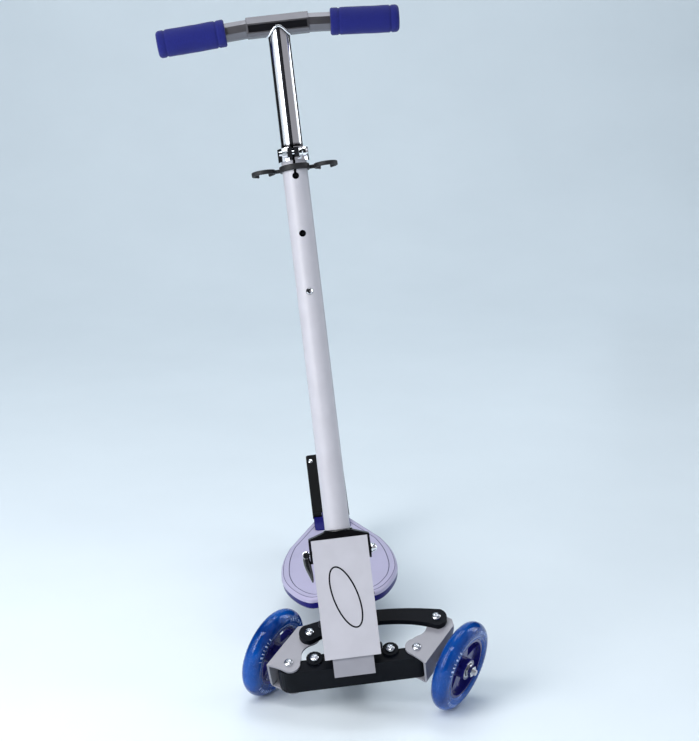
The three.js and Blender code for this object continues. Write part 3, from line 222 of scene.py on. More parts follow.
def glitter_rubber(name):
    s = Shader(name).set(trans=0.35, ior=1.45, coat=0.16, coat_rough=0.04, spec=0.15)
    flakes = s.cells(750)
    speck = s.math("LESS_THAN", flakes, 0.2)
    cloud = s.noise(22, 3.0)
    deep = s.ramp(cloud, [(0.35, (0.001, 0.034, 0.22)), (0.65, (0.002, 0.105, 0.50))])
    s.colour(s.mix(speck, deep, (0.10, 0.24, 0.75)))
    s.roughness(s.spread(s.noise(260, 2.0), 0.05, 0.16))
    s.link(s.math("MULTIPLY", speck, 0.7), s.bsdf.inputs["Metallic"])
    s.wear(s.bump(s.noise(110, 2.0), 0.0002, 0.35))
    return s.material


def sparkle_plastic(name, colour, flake, rough=0.33, coat=0.3, spec=0.3):
    s = Shader(name).set(coat=coat, coat_rough=0.1, spec=spec)
    flakes = s.cells(900)
    speck = s.math("LESS_THAN", flakes, 0.14)
    base = s.ramp(s.noise(25, 3.0), [(0.3, tuple(c * 0.94 for c in colour)), (0.7, colour)])
    s.colour(s.mix(speck, base, flake))
    s.roughness(s.spread(speck, rough, 0.12))
    s.link(s.math("MULTIPLY", speck, 0.6), s.bsdf.inputs["Metallic"])
    s.wear(s.bump(s.noise(900, 2.0), 0.00005, 0.4))
    return s.material


white_paint = powder_coat("white_paint", (0.475, 0.46, 0.505), rough=0.4, coat=0.1)
# A darker copy of the white paint, as painted shade on the sheet parts round the truck
shaded_white_paint = powder_coat("shaded_white_paint", (0.275, 0.27, 0.305), rough=0.36, coat=0.15)
black_truck = moulded("black_truck", (0.004, 0.005, 0.008), rough=0.34, spec=0.06)
black_paint = moulded("black_paint", (0.005, 0.005, 0.006), rough=0.36, spec=0.07)
black_plastic = moulded("black_plastic", (0.004, 0.004, 0.005), rough=0.42, spec=0.09)
holder_rubber = moulded("holder_rubber", (0.016, 0.016, 0.018), rough=0.5, spec=0.3)
black_screw = polished("black_screw", (0.03, 0.03, 0.035), rough=0.3)
chrome = polished("chrome", (0.82, 0.83, 0.86), rough=0.045)
# The riser's chrome, with painted shade where the stem's tube stands close over it
riser_chrome_painted_shade = chrome_with_painted_shade("riser_chrome_painted_shade", (0.82, 0.83, 0.86), 0.045)
zinc = polished("zinc", (0.72, 0.73, 0.77), rough=0.16)
steel = brushed("steel", (0.55, 0.55, 0.58), rough=0.28, stretch=(400, 400, 400))
aluminium = brushed("aluminium", (0.165, 0.162, 0.178), rough=0.36)
grip_foam = foam("grip_foam", (0.013, 0.017, 0.17))
tyre = glitter_rubber("tyre")
hub_plastic = moulded("hub_plastic", (0.012, 0.012, 0.15), rough=0.22, coat=0.4, spec=0.3)
deck_top = sparkle_plastic(
    "deck_top", (0.45, 0.415, 0.585), (0.95, 0.95, 1.0), rough=0.42, coat=0.06, spec=0.25)
deck_seam = moulded("deck_seam", (0.10, 0.09, 0.17), rough=0.5)
deck_base = sparkle_plastic(
    "deck_base", (0.010, 0.008, 0.13), (0.08, 0.07, 0.45), rough=0.3, coat=0.0, spec=0.12)

seal_rubber = moulded("seal_rubber", (0.012, 0.012, 0.014), rough=0.5)
print_black = moulded("print_black", (0.004, 0.004, 0.006), rough=0.45, spec=0.1)
lever_black = moulded("lever_black", (0.012, 0.012, 0.014), rough=0.14, grain=0.00002, coat=0.8)
tyre_mark = moulded("tyre_mark", (0.38, 0.50, 0.80), rough=0.25, coat=0.3)

FINISH = {
    "white_paint": white_paint, "black_truck": black_truck, "black_paint": black_paint,
    "black_plastic": black_plastic, "black_screw": black_screw, "chrome": chrome, "zinc": zinc,
    "steel": steel, "aluminium": aluminium, "grip": grip_foam, "tyre": tyre, "hub": hub_plastic,
    "deck_top": deck_top, "deck_base": deck_base,
}

# The sheet parts round the truck get a darker, greyer copy of the white paint than the cover and the stem:
# painted shade, as they stand in shade
SHADED_FINISH = {"knuckle_left": shaded_white_paint, "knuckle_right": shaded_white_paint, "front_upright": shaded_white_paint}

for part in record["subparts"]:
    obj = nodes[part["node"]]
    obj.data.materials.clear()
    obj.data.materials.append(SHADED_FINISH.get(part["node"]) or FINISH[part["material_slot"]])


# Where each group of parts has its own zero, in millimetres, and how it is turned (w, x, y, z)
PLACES = {
    "truck": ((31.482, -278.753, 80.358), (0.970829, 0.233075, -0.054716, 0.013136)),
    "tie_rod": ((59.888, -245.170, 100.791), (0.970829, 0.233075, -0.054716, 0.013136)),
    "knuckle_left": ((-49.005, -278.753, 71.257), (0.919529, 0.237971, 0.026225, -0.311687)),
    "knuckle_right": ((111.969, -278.753, 89.460), (0.919529, 0.237971, 0.026225, -0.311687)),
    "wheel_left": ((-67.109, -217.849, 58.987), (0.668749, -0.052125, -0.631661, -0.388667)),
    "wheel_right": ((168.346, -269.773, 58.987), (0.631661, 0.388667, 0.668749, -0.052125)),
    "wheel_rear": ((34.951, 271.247, 49.683), (0.745776, 0.0, 0.666197, 0.0)),
    "rear_axle": ((34.951, 271.247, 49.683), (0.998416, 0.0, -0.056270, 0.0)),
    "cover": ((30.504, -303.753, 89.003), (0.987832, -0.144990, -0.055674, -0.008172)),
    "bar": ((-54.659, -52.854, 842.137), (0.987832, -0.144990, -0.055674, -0.008172)),
    "stem": ((17.212, -244.753, 206.554), (0.987832, -0.144990, -0.055674, -0.008172)),
    "body": ((31.482, -278.753, 80.358), (0.998416, 0.0, -0.056270, 0.0)),
    "flap": ((30.437, 214.747, 89.599), (0.938204, 0.341478, -0.052877, 0.019246)),
}


def placing(place):
    position, turn = PLACES[place]
    return Matrix.Scale(MM, 4) @ Matrix.Translation(position) @ Quaternion(turn).to_matrix().to_4x4()


# Shapes are built in millimetres about their group's zero

def joined(*shapes):
    """Several (points, faces) shapes as one."""
    points, faces = [], []
    for some_points, some_faces in shapes:
        start = len(points)
        points += some_points
        faces += [tuple(start + i for i in face) for face in some_faces]
    return points, faces


def moved(shape, turn=None, by=(0, 0, 0)):
    matrix = Matrix.Translation(by) @ (turn or Matrix.Identity(4))
    return [tuple(matrix @ Vector(p)) for p in shape[0]], shape[1]


def rectangle(half_x, half_y, height):
    """Corners about the z axis, anticlockwise from above."""
    corners = ((-1, -1), (1, -1), (1, 1), (-1, 1))
    return [(half_x * x, half_y * y, height) for x, y in corners]


def lathe(profile, sides=64):
    """A profile of (radius, height) turned about z. It is closed where its ends meet or reach the axis."""
    points, faces, rows = [], [], []
    closed = profile[0] == profile[-1]
    used = profile[:-1] if closed else profile
    for radius, height in used:
        if radius < 1e-6:
            rows.append([len(points)] * sides)
            points.append((0.0, 0.0, height))
            continue
        rows.append(list(range(len(points), len(points) + sides)))
        for i in range(sides):
            a = 2 * math.pi * i / sides
            points.append((radius * math.cos(a), radius * math.sin(a), height))
    pairs = list(zip(rows, rows[1:] + rows[:1])) if closed else list(zip(rows, rows[1:]))
    for low, high in pairs:
        for i in range(sides):
            j = (i + 1) % sides
            face = [low[i], low[j], high[j], high[i]]
            face = [v for n, v in enumerate(face) if v not in face[:n]]
            if len(face) > 2:
                faces.append(tuple(face))
    return points, faces


def loft(sections, closed=False):
    """Rings of points with the same count, joined in order. Open ones are capped."""
    count = len(sections[0])
    points = [tuple(p) for ring in sections for p in ring]
    faces = []
    for r in range(len(sections) if closed else len(sections) - 1):
        after = (r + 1) % len(sections)
        for i in range(count):
            j = (i + 1) % count
            faces.append((r * count + i, r * count + j, after * count + j, after * count + i))
    if not closed:
        faces.append(tuple(reversed(range(count))))
        faces.append(tuple((len(sections) - 1) * count + i for i in range(count)))
    return points, faces


def swept(path, radius, sides=10, closed=False, squash=1.0, up=(0, 0, 1)):
    """A round bead along a path of points. A closed one has no caps."""
    rings = []
    count = len(path)
    for i, point in enumerate(path):
        before = path[(i - 1) % count] if closed or i else path[0]
        after = path[(i + 1) % count] if closed or i < count - 1 else path[-1]
        along = (Vector(after) - Vector(before)).normalized()
        side = along.cross(Vector(up))
        side = side.normalized() if side.length > 1e-6 else Vector((1, 0, 0))
        lift = side.cross(along)
        reach = radius(i / count) if callable(radius) else radius
        rings.append([
            tuple(Vector(point) + side * reach * math.cos(a) + lift * reach * squash * math.sin(a))
            for a in (2 * math.pi * k / sides for k in range(sides))
        ])
    return loft(rings, closed)


def ellipse(across, along, steps=48, power=2.0):
    """Outline points. A power above 2 squares it off."""
    out = []
    for i in range(steps):
        a = 2 * math.pi * i / steps
        cosine, sine = math.cos(a), math.sin(a)
        out.append((
            across * math.copysign(abs(cosine) ** (2 / power), cosine),
            along * math.copysign(abs(sine) ** (2 / power), sine),
        ))
    return out


def build(name, shape, place=None):
    mesh = bpy.data.meshes.new(name)
    mesh.from_pydata([tuple(p) for p in shape[0]], [], [tuple(f) for f in shape[1]])
    mesh.transform(placing(place) if place else Matrix.Scale(MM, 4))
    work = bmesh.new()
    work.from_mesh(mesh)
    bmesh.ops.remove_doubles(work, verts=work.verts, dist=1e-7)
    bmesh.ops.recalc_face_normals(work, faces=work.faces)
    work.to_mesh(mesh)
    work.free()
    obj = bpy.data.objects.new(name, mesh)
    bpy.context.scene.collection.objects.link(obj)
    return obj


def carved(obj, *cutters, operation="DIFFERENCE"):
    """The object less (or limited to) the cutters, which are used up."""
    for cutter in cutters:
        step = obj.modifiers.new("cut", "BOOLEAN")
        step.operation = operation
        step.solver = "EXACT"
        step.object = cutter
    shaped = bpy.data.meshes.new_from_object(obj.evaluated_get(bpy.context.evaluated_depsgraph_get()))
    obj.modifiers.clear()
    old = obj.data
    obj.data = shaped
    shaped.name = obj.name
    bpy.data.meshes.remove(old)
    for cutter in cutters:
        used = cutter.data
        bpy.data.objects.remove(cutter)
        bpy.data.meshes.remove(used)
    return obj


def smooth_by_angle(obj, degrees=32):
    """Shades smooth across shallow edges and keeps the others sharp."""
    bpy.context.view_layer.objects.active = obj
    obj.select_set(True)
    bpy.ops.object.shade_smooth_by_angle(angle=math.radians(degrees))
    obj.select_set(False)


def soft_edges(obj, width=0.4, degrees=38, segments=2):
    """Small rounded edges that catch the light."""
    step = obj.modifiers.new("soft_edges", "BEVEL")
    step.width = width * MM
    step.segments = segments
    step.limit_method = "ANGLE"
    step.angle_limit = math.radians(degrees)
    step.use_clamp_overlap = True
    step.harden_normals = True


def finished(obj, body, material, slot, *replaced, smooth=35):
    """Gives a piece its finish, its body and the nodes that it stands for."""
    obj.data.materials.clear()
    obj.data.materials.append(material)
    smooth_by_angle(obj, smooth)
    if replaced:
        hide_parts(*replaced)
    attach(obj, body)


# Bolts, screws and nuts

ALONG_X = Matrix.Rotation(math.radians(90), 4, "Y")
AGAINST_X = Matrix.Rotation(math.radians(-90), 4, "Y")


def dome(radius, height, shoulder, steps=6, foot=0.0):
    """Profile of a rounded head from its edge to its crown."""
    rise = height - shoulder
    out = [(radius, foot), (radius, foot + shoulder)]
    for i in range(1, steps + 1):
        a = math.pi / 2 * i / steps
        out.append((radius * math.cos(a), foot + shoulder + rise * math.sin(a)))
    return out


def hexagon(flat, low, high, bore=0.0, steps=8):
    """A nut or head with chamfered corners, from face to face."""
    face_edge = flat * 0.97
    drop = 0.55
    angles = [math.pi / 3 * (n + k / steps) for n in range(6) for k in range(steps)]

    def reach(a):
        return flat / math.cos((a % (math.pi / 3)) - math.pi / 6)

    def ring(height, size):
        return [(size(a) * math.cos(a), size(a) * math.sin(a), height(a)) for a in angles]

    rings = [
        ring(lambda a: low, lambda a: face_edge),
        ring(lambda a: low + (reach(a) - face_edge) * drop, reach),
        ring(lambda a: high - (reach(a) - face_edge) * drop, reach),
        ring(lambda a: high, lambda a: face_edge),
    ]
    if bore:
        chamfer = 0.4
        rings += [
            ring(lambda a: high, lambda a: bore + chamfer),
            ring(lambda a: high - chamfer, lambda a: bore),
            ring(lambda a: low + chamfer, lambda a: bore),
            ring(lambda a: low, lambda a: bore + chamfer),
        ]
    return loft(rings, closed=bool(bore))


def threaded(radius, low, high, pitch=1.0, depth=0.35):
    """Profile of the thread on a shank, with a chamfered end."""
    out = []
    turns = max(1, int((high - low) / pitch))
    step = (high - low) / turns
    for i in range(turns):
        out += [(radius, low + i * step), (radius - depth, low + (i + 0.5) * step)]
    return out + [(radius - depth / 2, high)]


def cross_recess(place, turn, by, reach, arm, depth):
    """The cutter for a cross recess, narrower at its foot."""
    foot, top = 0.55, 0.6
    arms = []
    for long, wide in ((reach, arm), (arm, reach)):
        shape = loft([
            rectangle(long * foot, wide * foot, -depth), rectangle(long, wide, 0), rectangle(long, wide, top),
        ])
        arms.append(build("cutter", moved(shape, turn, by), place))
    return arms


def bolt(name, place, node, body, material, slot, head, head_at, tip, shank, spot,
         turn=None, spin=0.0, nut=None):
    """A pan head with a cross recess, its shank, and a nut at the far end if it has one."""
    radius, height = head
    twist = (turn or Matrix.Identity(4)) @ Matrix.Rotation(math.radians(spin), 4, "Z")
    axis = twist.to_3x3() @ Vector((0, 0, 1))
    profile = [(0, tip), (shank - 0.4, tip), (shank, tip + 0.5), (shank, head_at)]
    profile += dome(radius, height, height * 0.38, foot=head_at) + [(0, head_at + height)]
    obj = build(name, moved(lathe(profile, 48), twist, spot), place)
    top = tuple(Vector(spot) + axis * (head_at + height - 0.15))
    carved(obj, *cross_recess(place, twist, top, reach=radius * 0.56, arm=radius * 0.13, depth=height * 0.55))
    if nut:
        flat, low, high = nut
        nut_obj = build("nut", moved(hexagon(flat, low, high), twist, spot), place)
        carved(obj, nut_obj, operation="UNION")
    finished(obj, body, material, slot, node, smooth=38)


PAN_HEAD = (5.6, 3.2)
BOSS_X = 48
KINGPIN_X = 81
TIE_ARM = 48.5
NUT_FLAT = 6.5

for side, name in ((-1, "left"), (1, "right")):
    bolt(f"boss_bolt_head_{name}", "truck", f"boss_bolt_{name}", "frame", zinc, "zinc",
         PAN_HEAD, 0.3, -47.0, 3.5, (BOSS_X * side, 3, 0), spin=20 if side > 0 else 55)
    bolt(f"kingpin_head_{name}", "truck", f"kingpin_{name}", "frame", zinc, "zinc",
         PAN_HEAD, 0.3, -53.3, 4.0, (KINGPIN_X * side, 0, 0), spin=35 if side > 0 else 10,
         nut=(NUT_FLAT, -51.3, -46.3))
    bolt(f"tie_bolt_head_{name}", f"knuckle_{name}", f"tie_bolt_{name}", f"knuckle_{name}", zinc, "zinc",
         PAN_HEAD, 8.6, -10.3, 4.0, (0, TIE_ARM, 0), spin=65 if side > 0 else 30, nut=(NUT_FLAT, -8.3, -3.3))

for side, name, height in ((-1, "upper", 44), (1, "lower", 9)):
    bolt(f"cover_screw_head_{name}", "cover", f"cover_screw_{name}", "frame", black_screw, "black_screw",
         (4.5, 3.0), 35.4, -35.1, 2.5, (0, 12, height), turn=ALONG_X if side > 0 else AGAINST_X, spin=25)


# Wheels

TYRE_HALF = 12
TYRE_DEPTH = 20
# The tyres stay this far inside the wheels' circle
TYRE_SHY = 0.4


def tyre_profile(radius):
    crown = radius - TYRE_HALF
    inner = radius - TYRE_DEPTH
    half = [(inner, 0), (inner, 9.8), (inner + 0.5, 10.4), (inner + 2.2, 11.6), (inner + 3.0, 11.9)]
    half += [(inner + 3.6, 11.55), (inner + 4.3, 11.55), (inner + 4.9, 11.95), (crown, TYRE_HALF)]
    for i in range(1, 16):
        a = math.pi / 2 * i / 16
        half.append((crown + TYRE_HALF * math.sin(a), TYRE_HALF * math.cos(a)))
    half += [(radius - 0.12, 0.5), (radius, 0.22)]
    lower = [(r, -z) for r, z in reversed(half)]
    return half + lower + [half[0]]


def tyre_marks(radius):
    """Short raised bars in groups round each side, as moulds leave them."""
    shapes = []
    middle = radius - 9.6
    slope = math.asin((middle - radius + TYRE_HALF) / TYRE_HALF)
    high = TYRE_HALF * math.cos(slope)
    tip = Matrix.Rotation(slope, 4, "Y")
    widths = (1.5, 0.8, 2.1, 0.8, 1.5, 2.4, 0.8)
    for face in (-1, 1):
        for group in range(4):
            angle = math.radians(90 * group + 17)
            for width in widths:
                mark = loft([rectangle(2.2, width / 2, -0.5), rectangle(2.0, width / 2 - 0.15, 0.3)])
                shape = moved(moved(mark, tip, (middle, 0, high)), Matrix.Rotation(angle, 4, "Z"))
                if face < 0:
                    shape = moved(shape, Matrix.Rotation(math.pi, 4, "X"))
                shapes.append(shape)
                angle += math.radians(4.6 + width * 0.9)
    return joined(*shapes)


def bearing_piece(name, place, body, side, node):
    """Two steel races with a dark seal between them."""
    profile = [
        (11.0, 6.0), (11.0, 12.7), (10.7, 13.0), (9.2, 13.0), (9.0, 12.5), (6.1, 12.5),
        (5.9, 13.0), (4.6, 13.0), (4.3, 12.7), (4.3, 6.0), (11.0, 6.0),
    ]
    turn = Matrix.Identity(4) if side > 0 else Matrix.Rotation(math.pi, 4, "X")
    obj = build(name, moved(lathe(profile), turn), place)
    finished(obj, body, steel, "steel", node, smooth=30)
    obj.data.materials.append(seal_rubber)
    inverse = placing(place).inverted()
    for face in obj.data.polygons:
        at = inverse @ face.center
        if 6.05 < math.hypot(at.x, at.y) < 9.05 and abs(at.z) > 12.3:
            face.material_index = 1


for name, radius in (("left", 60), ("right", 60), ("rear", 50)):
    wheel = f"wheel_{name}"
    obj = build(f"tyre_ring_{name}", lathe(tyre_profile(radius - TYRE_SHY), 128), wheel)
    finished(obj, wheel, tyre, "tyre", f"tyre_{name}", smooth=40)
    obj = build(f"tyre_marks_{name}", tyre_marks(radius - TYRE_SHY), wheel)
    finished(obj, wheel, tyre_mark, "tyre", smooth=20)
    ends = ("left", "right") if name == "rear" else ("inner", "outer")
    for side, end in zip((-1, 1), ends):
        node = f"bearing_rear_{end}" if name == "rear" else f"bearing_{end}_{name}"
        bearing_piece(f"races_{name}_{end}", wheel, wheel, side, node)

for name in ("left", "right"):
    place, body = f"wheel_{name}", f"knuckle_{name}"
    washer = lathe([
        (4.3, 13.3), (6.7, 13.3), (6.9, 13.5), (7.5, 14.0), (7.5, 14.6), (7.3, 14.8), (4.3, 14.8),
        (4.3, 13.3),
    ])
    obj = build(f"axle_washer_nut_{name}", joined(washer, hexagon(NUT_FLAT, 14.8, 19.8, bore=4.3)), place)
    finished(obj, body, zinc, "zinc", f"axle_nut_{name}", smooth=30)
    profile = [(0, -28.0), (4.0, -28.0)] + threaded(4.0, 12.0, 23.6, pitch=1.15, depth=0.45)
    profile += [(3.2, 24.1), (0, 24.1)]
    shape = joined(lathe(profile, 48), hexagon(NUT_FLAT, -32.1, -27.1))
    finished(build(f"axle_shank_{name}", shape, place), body, steel, "steel", f"axle_{name}", smooth=30)


# Grips

DROOP = 3.6
SOCKET_X = 27
GRIP_RADIUS = 17.4
GRIP_BORE = 12.5
GRIP_START = 66.7
GRIP_END = 153.8
GRIP_WALL_END = 149.0
INNER_GROOVE, OUTER_GROOVE = 77.7, 143.0


def drooped(shape, side):
    """Turned down with the handle, about the middle of its socket."""
    return moved(shape, Matrix.Rotation(math.radians(DROOP * side), 4, "Y"), (SOCKET_X * side, 0, 0))


def tipped(shape, side):
    """A shape made about z, laid along the handle's line."""
    turn = ALONG_X if side > 0 else AGAINST_X
    return drooped(moved(shape, turn, (-SOCKET_X * side, 0, 0)), side)


def groove(middle):
    steps = ((0, -2.4), (0.2, -1.5), (1.05, -0.5), (1.05, 0.5), (0.2, 1.5), (0, 2.4))
    return [(GRIP_RADIUS - depth, middle + along) for depth, along in steps]


def grip_profile():
    inner_edge, outer_edge = 2.6, 5
    out = [(GRIP_BORE, GRIP_START)]
    for i in range(7):
        a = math.pi / 2 * (1 - i / 6)
        radius = GRIP_RADIUS - inner_edge * (1 - math.cos(a))
        out.append((radius, GRIP_START + inner_edge * (1 - math.sin(a))))
    out += groove(INNER_GROOVE)
    out += [(GRIP_RADIUS, INNER_GROOVE + 8 * k) for k in range(1, 8)]
    out += groove(OUTER_GROOVE)
    for i in range(9):
        a = math.pi / 2 * i / 8
        radius = GRIP_RADIUS - outer_edge * (1 - math.cos(a))
        out.append((radius, GRIP_END - outer_edge * (1 - math.sin(a))))
    return out + [
        (6, GRIP_END), (0, GRIP_END), (0, GRIP_WALL_END), (GRIP_BORE, GRIP_WALL_END), (GRIP_BORE, GRIP_START),
    ]


def pressed(shape):
    """Foam is never quite round: its surface wanders by a few tenths of a millimetre."""
    points = []
    for x, y, z in shape[0]:
        radius = math.hypot(x, y)
        if radius > 14:
            angle = math.atan2(y, x)
            push = 0.14 * math.sin(3 * angle + z * 0.11) + 0.1 * math.sin(5 * angle - z * 0.27 + 1.7) - 0.2
            x, y = x * (1 + push / radius), y * (1 + push / radius)
        points.append((x, y, z))
    return points, shape[1]


for side, name in ((-1, "left"), (1, "right")):
    shape = tipped(pressed(lathe(grip_profile(), 96)), side)
    obj = build(f"foam_grip_{name}", shape, "bar")
    finished(obj, f"handle_{name}", grip_foam, "grip", f"grip_{name}", smooth=50)


# Bar sleeve and its strip

# The sleeve's section as (depth, height)
SLEEVE = [
    (4.5, 13.0), (-4.8, 13.0), (-11.3, 3.2), (-11.3, -9.4),
    (-7.6, -13.0), (4.5, -13.0), (10.9, -5.4), (10.9, 5.4),
]
SLEEVE_HALF_HEIGHT = 13
SLEEVE_END = 39.5
STRIP_LOW, STRIP_HIGH = -7.9, 1.4


def sleeve_shape():
    def ring(x, inset):
        share = 1 - inset / SLEEVE_HALF_HEIGHT
        return [(x, y * share, z * share) for y, z in SLEEVE]

    edge = 0.5
    stops = ((-SLEEVE_END, edge), (edge - SLEEVE_END, 0), (SLEEVE_END - edge, 0), (SLEEVE_END, edge))
    return loft([ring(x, inset) for x, inset in stops])


def socket_shape(side):
    """The eight-sided bore in one end, which droops with the handle."""
    across, along = 11.6, 11.6 * math.tan(math.pi / 8)
    corners = [(across, along), (along, across), (-along, across), (-across, along),
               (-across, -along), (-along, -across), (along, -across), (across, -along)]
    rings = [[(x * side, y * 0.84, z) for y, z in corners] for x in (15.7 - SOCKET_X, 30)]
    return drooped(loft(rings), side)


def slab_between(low, high):
    (a, b, c), (d, e, f) = low, high
    return loft([[(a, b, z), (d, b, z), (d, e, z), (a, e, z)] for z in (c, f)])


obj = build("sleeve_profile", sleeve_shape(), "bar")
cutters = [build("cutter", socket_shape(side), "bar") for side in (-1, 1)]
cutters.append(build("cutter", slab_between((-37.5, -20, STRIP_LOW), (37.5, -10.5, STRIP_HIGH)), "bar"))
finished(carved(obj, *cutters), "riser", aluminium, "aluminium", "bar_sleeve", smooth=25)
soft_edges(obj, 0.5)
shape = slab_between((-37.2, -11.2, STRIP_LOW + 0.3), (37.2, -10.55, STRIP_HIGH - 0.3))
obj = build("strip_inlay", shape, "bar")
finished(obj, "riser", print_black, "black_plastic", "sleeve_strip", smooth=25)
soft_edges(obj, 0.2)


# Riser

RISER_RADIUS = 13.9
RISER_BORE = 12.3
RISER_FOOT = 291.8
SLEEVE_AXIS = 667.8
BUTTON_HOLE = 327.8


def under_sleeve(depth):
    """Height of the sleeve's underside at a depth behind its middle, and of the weld in front of it."""
    stops = ((-14.2, -3.6), (-11.3, -9.4), (-7.6, -13.0), (4.5, -13.0), (10.9, -5.4), (14.2, -3.8))
    for (a, low), (b, high) in zip(stops, stops[1:]):
        if depth <= b:
            return low + (high - low) * (depth - a) / (b - a)
    return stops[-1][1]


def crown_heights(radius, count):
    """Where the riser's top edge meets the sleeve, round the tube."""
    heights = [under_sleeve(radius * math.sin(2 * math.pi * i / count)) for i in range(count)]
    for _ in range(3):
        heights = [
            (heights[i - 1] + 2 * heights[i] + heights[(i + 1) % count]) / 4 for i in range(count)
        ]
    return heights


def around(radius, count, heights):
    angles = [2 * math.pi * i / count for i in range(count)]
    return [(radius * math.cos(a), radius * math.sin(a), h) for a, h in zip(angles, heights)]


def riser_shape(count=96):
    edge = 0.3
    top = [SLEEVE_AXIS + h for h in crown_heights(RISER_RADIUS, count)]
    foot = [RISER_FOOT] * count
    middle = [640.0] * count
    return loft([
        around(RISER_RADIUS - edge, count, foot), around(RISER_RADIUS, count, [h + edge for h in foot]),
        around(RISER_RADIUS, count, middle), around(RISER_RADIUS, count, [h - edge for h in top]),
        around(RISER_RADIUS - edge, count, top), around(RISER_BORE + 0.1, count, top),
        around(RISER_BORE, count, middle), around(RISER_BORE, count, foot),
    ], closed=True)


def bead_radius(share):
    """The bead is thickest at the sides, with fine ripples along it."""
    return 1.5 + 0.5 * abs(math.cos(share * 2 * math.pi)) + 0.08 * math.sin(share * 200)


FORWARD = Matrix.Rotation(math.pi / 2, 4, "X")

obj = build("riser_pipe", riser_shape(), "stem")
hole = moved(lathe([(0, 0), (4.4, 0), (4.4, 30), (0, 30)], 40), FORWARD, (0, 0, BUTTON_HOLE))
# The riser gets the chrome with painted shade, dark inside the stem
finished(carved(obj, build("cutter", hole, "stem")), "riser", riser_chrome_painted_shade, "chrome", "riser_tube", smooth=40)

path = around(14.1, 96, [SLEEVE_AXIS - 0.2 + h for h in crown_heights(14.1, 96)])
bead = swept(path, bead_radius, 12, closed=True)
finished(build("riser_weld_bead", bead, "stem"), "riser", chrome, "chrome", smooth=70)


# Holder: a band round the stem and a clip on each side whose mouth is at the rear

def band(path, wall, low, high, closed=False):
    """A flat band with rounded edges along a path seen from above."""
    rings = []
    count = len(path)
    half = (high - low) / 2
    for i, (x, y) in enumerate(path):
        before = path[i - 1] if closed or i else path[0]
        after = path[(i + 1) % count] if closed or i < count - 1 else path[-1]
        along = (Vector(after) - Vector(before)).normalized()
        rings.append([
            (x + along.y * across, y - along.x * across, low + half + up)
            for across, up in ellipse(wall / 2, half, 20, 4.5)
        ])
    return loft(rings, closed)


def arc(radius, start, end, steps):
    angles = [math.radians(start + (end - start) * i / steps) for i in range(steps + 1)]
    return [(radius * math.cos(a), radius * math.sin(a)) for a in angles]


HOLDER_FOOT = 481.4
HOLDER_TILT = -2.2
CLIP_X = 39.5


def on_stem(shape):
    return moved(shape, Matrix.Rotation(math.radians(HOLDER_TILT), 4, "Y"), (0, 0, HOLDER_FOOT))


obj = build("holder_band_clips", on_stem(band(arc(17.85, 0, 356.25, 95), 2.9, 0, 7.6, closed=True)), "stem")
parts = []
for side in (-1, 1):
    lip = [(7.6, 14.4), (7.2, 13.2)]
    clip = lip + arc(13.9, 60, -240, 60)[1:-1] + [(-x, y) for x, y in reversed(lip)]
    clip = [((CLIP_X + x) * side, y) for x, y in clip]
    parts.append(build("part", on_stem(band(clip, 2.8, 0.1, 5.6)), "stem"))
    neck = [(18.6 * side, 0.0), (22.0 * side, 0.0), (26.2 * side, 0.0)]
    parts.append(build("part", on_stem(band(neck, 6.2, 0.5, 5.0)), "stem"))
carved(obj, *parts, operation="UNION")
finished(obj, "stem", holder_rubber, "black_plastic", "grip_holder", smooth=40)

# A rounded black rim where the stem leaves the hinge block
rim = lathe([
    (16.1, 26.1), (18.0, 26.3), (18.9, 27.0), (18.6, 27.9), (17.4, 28.5), (16.1, 28.7), (16.1, 26.1),
])
finished(build("stem_foot_rim", rim, "stem"), "stem", lever_black, "black_plastic", smooth=60)


def knurled(reach, height, ridge, count=96):
    """One ring of the round nut, whose rim has 24 ridges."""
    out = []
    for i in range(count):
        a = 2 * math.pi * i / count
        r = reach + ridge * math.cos(24 * a)
        out.append((r * math.cos(a), r * math.sin(a), height))
    return out


knurl = loft([
    knurled(5.2, -13.6, 0), knurled(6.05, -13.1, 0.12), knurled(6.05, -8.2, 0.12),
    knurled(5.6, -7.6, 0), knurled(3.1, -7.6, 0), knurled(3.1, -13.6, 0),
], closed=True)
obj = build("clamp_knurled_nut", moved(knurl, ALONG_X, (0, -25.6, 501.3)), "stem")
finished(obj, "stem", chrome, "chrome", "clamp_nut", smooth=25)


# Fold joint

LEVER_X = -43.2


def lever_shape():
    """Rings from under the cam down to the tip, as (height, shift, half thickness, half width)."""
    rings = []
    stops = ((-1.0, -0.4, 2.6, 5.6), (-2.4, -0.4, 4.0, 6.2), (-6, -0.2, 4.6, 6.4), (-12, 0.4, 4.7, 6.3),
             (-17, 1.3, 4.3, 6.1), (-22, 2.4, 3.7, 5.7), (-27, 3.5, 2.8, 5.0), (-31, 4.2, 2.0, 4.2),
             (-33.6, 4.5, 1.3, 3.2), (-35.0, 4.6, 0.6, 1.6))
    for height, shift, thick, wide in stops:
        rings.append([(shift + x, y, height) for x, y in ellipse(thick, wide, 40, 3.2)])
    return loft(rings)


shape = moved(lever_shape(), by=(LEVER_X, 0, 0))
finished(build("quick_lever", shape, "stem"), "fold_lever", lever_black, "chrome", "fold_lever", smooth=60)
cam = lathe([
    (0, -6.5), (3.9, -6.5), (4.4, -6.0), (4.4, -3.3), (3.4, -2.9),
    (3.4, 2.9), (4.4, 3.3), (4.4, 6.0), (3.9, 6.5), (0, 6.5),
], 48)
cam = moved(cam, FORWARD, (LEVER_X, 0, 0))
finished(build("lever_cam", cam, "stem"), "fold_lever", chrome, "chrome", smooth=40)

dome_profile = [(0, 38.7), (5.9, 38.7), (6.3, 39.1), (6.3, 40.3), (5.6, 40.9)]
for i in range(10):
    a = math.pi / 2 * i / 9
    dome_profile.append((5.4 * math.cos(a), 41.2 + 5.4 * math.sin(a)))
obj = build("fold_dome_nut", moved(lathe(dome_profile), ALONG_X), "stem")
finished(obj, "frame", chrome, "chrome", "fold_nut", smooth=40)


# Deck

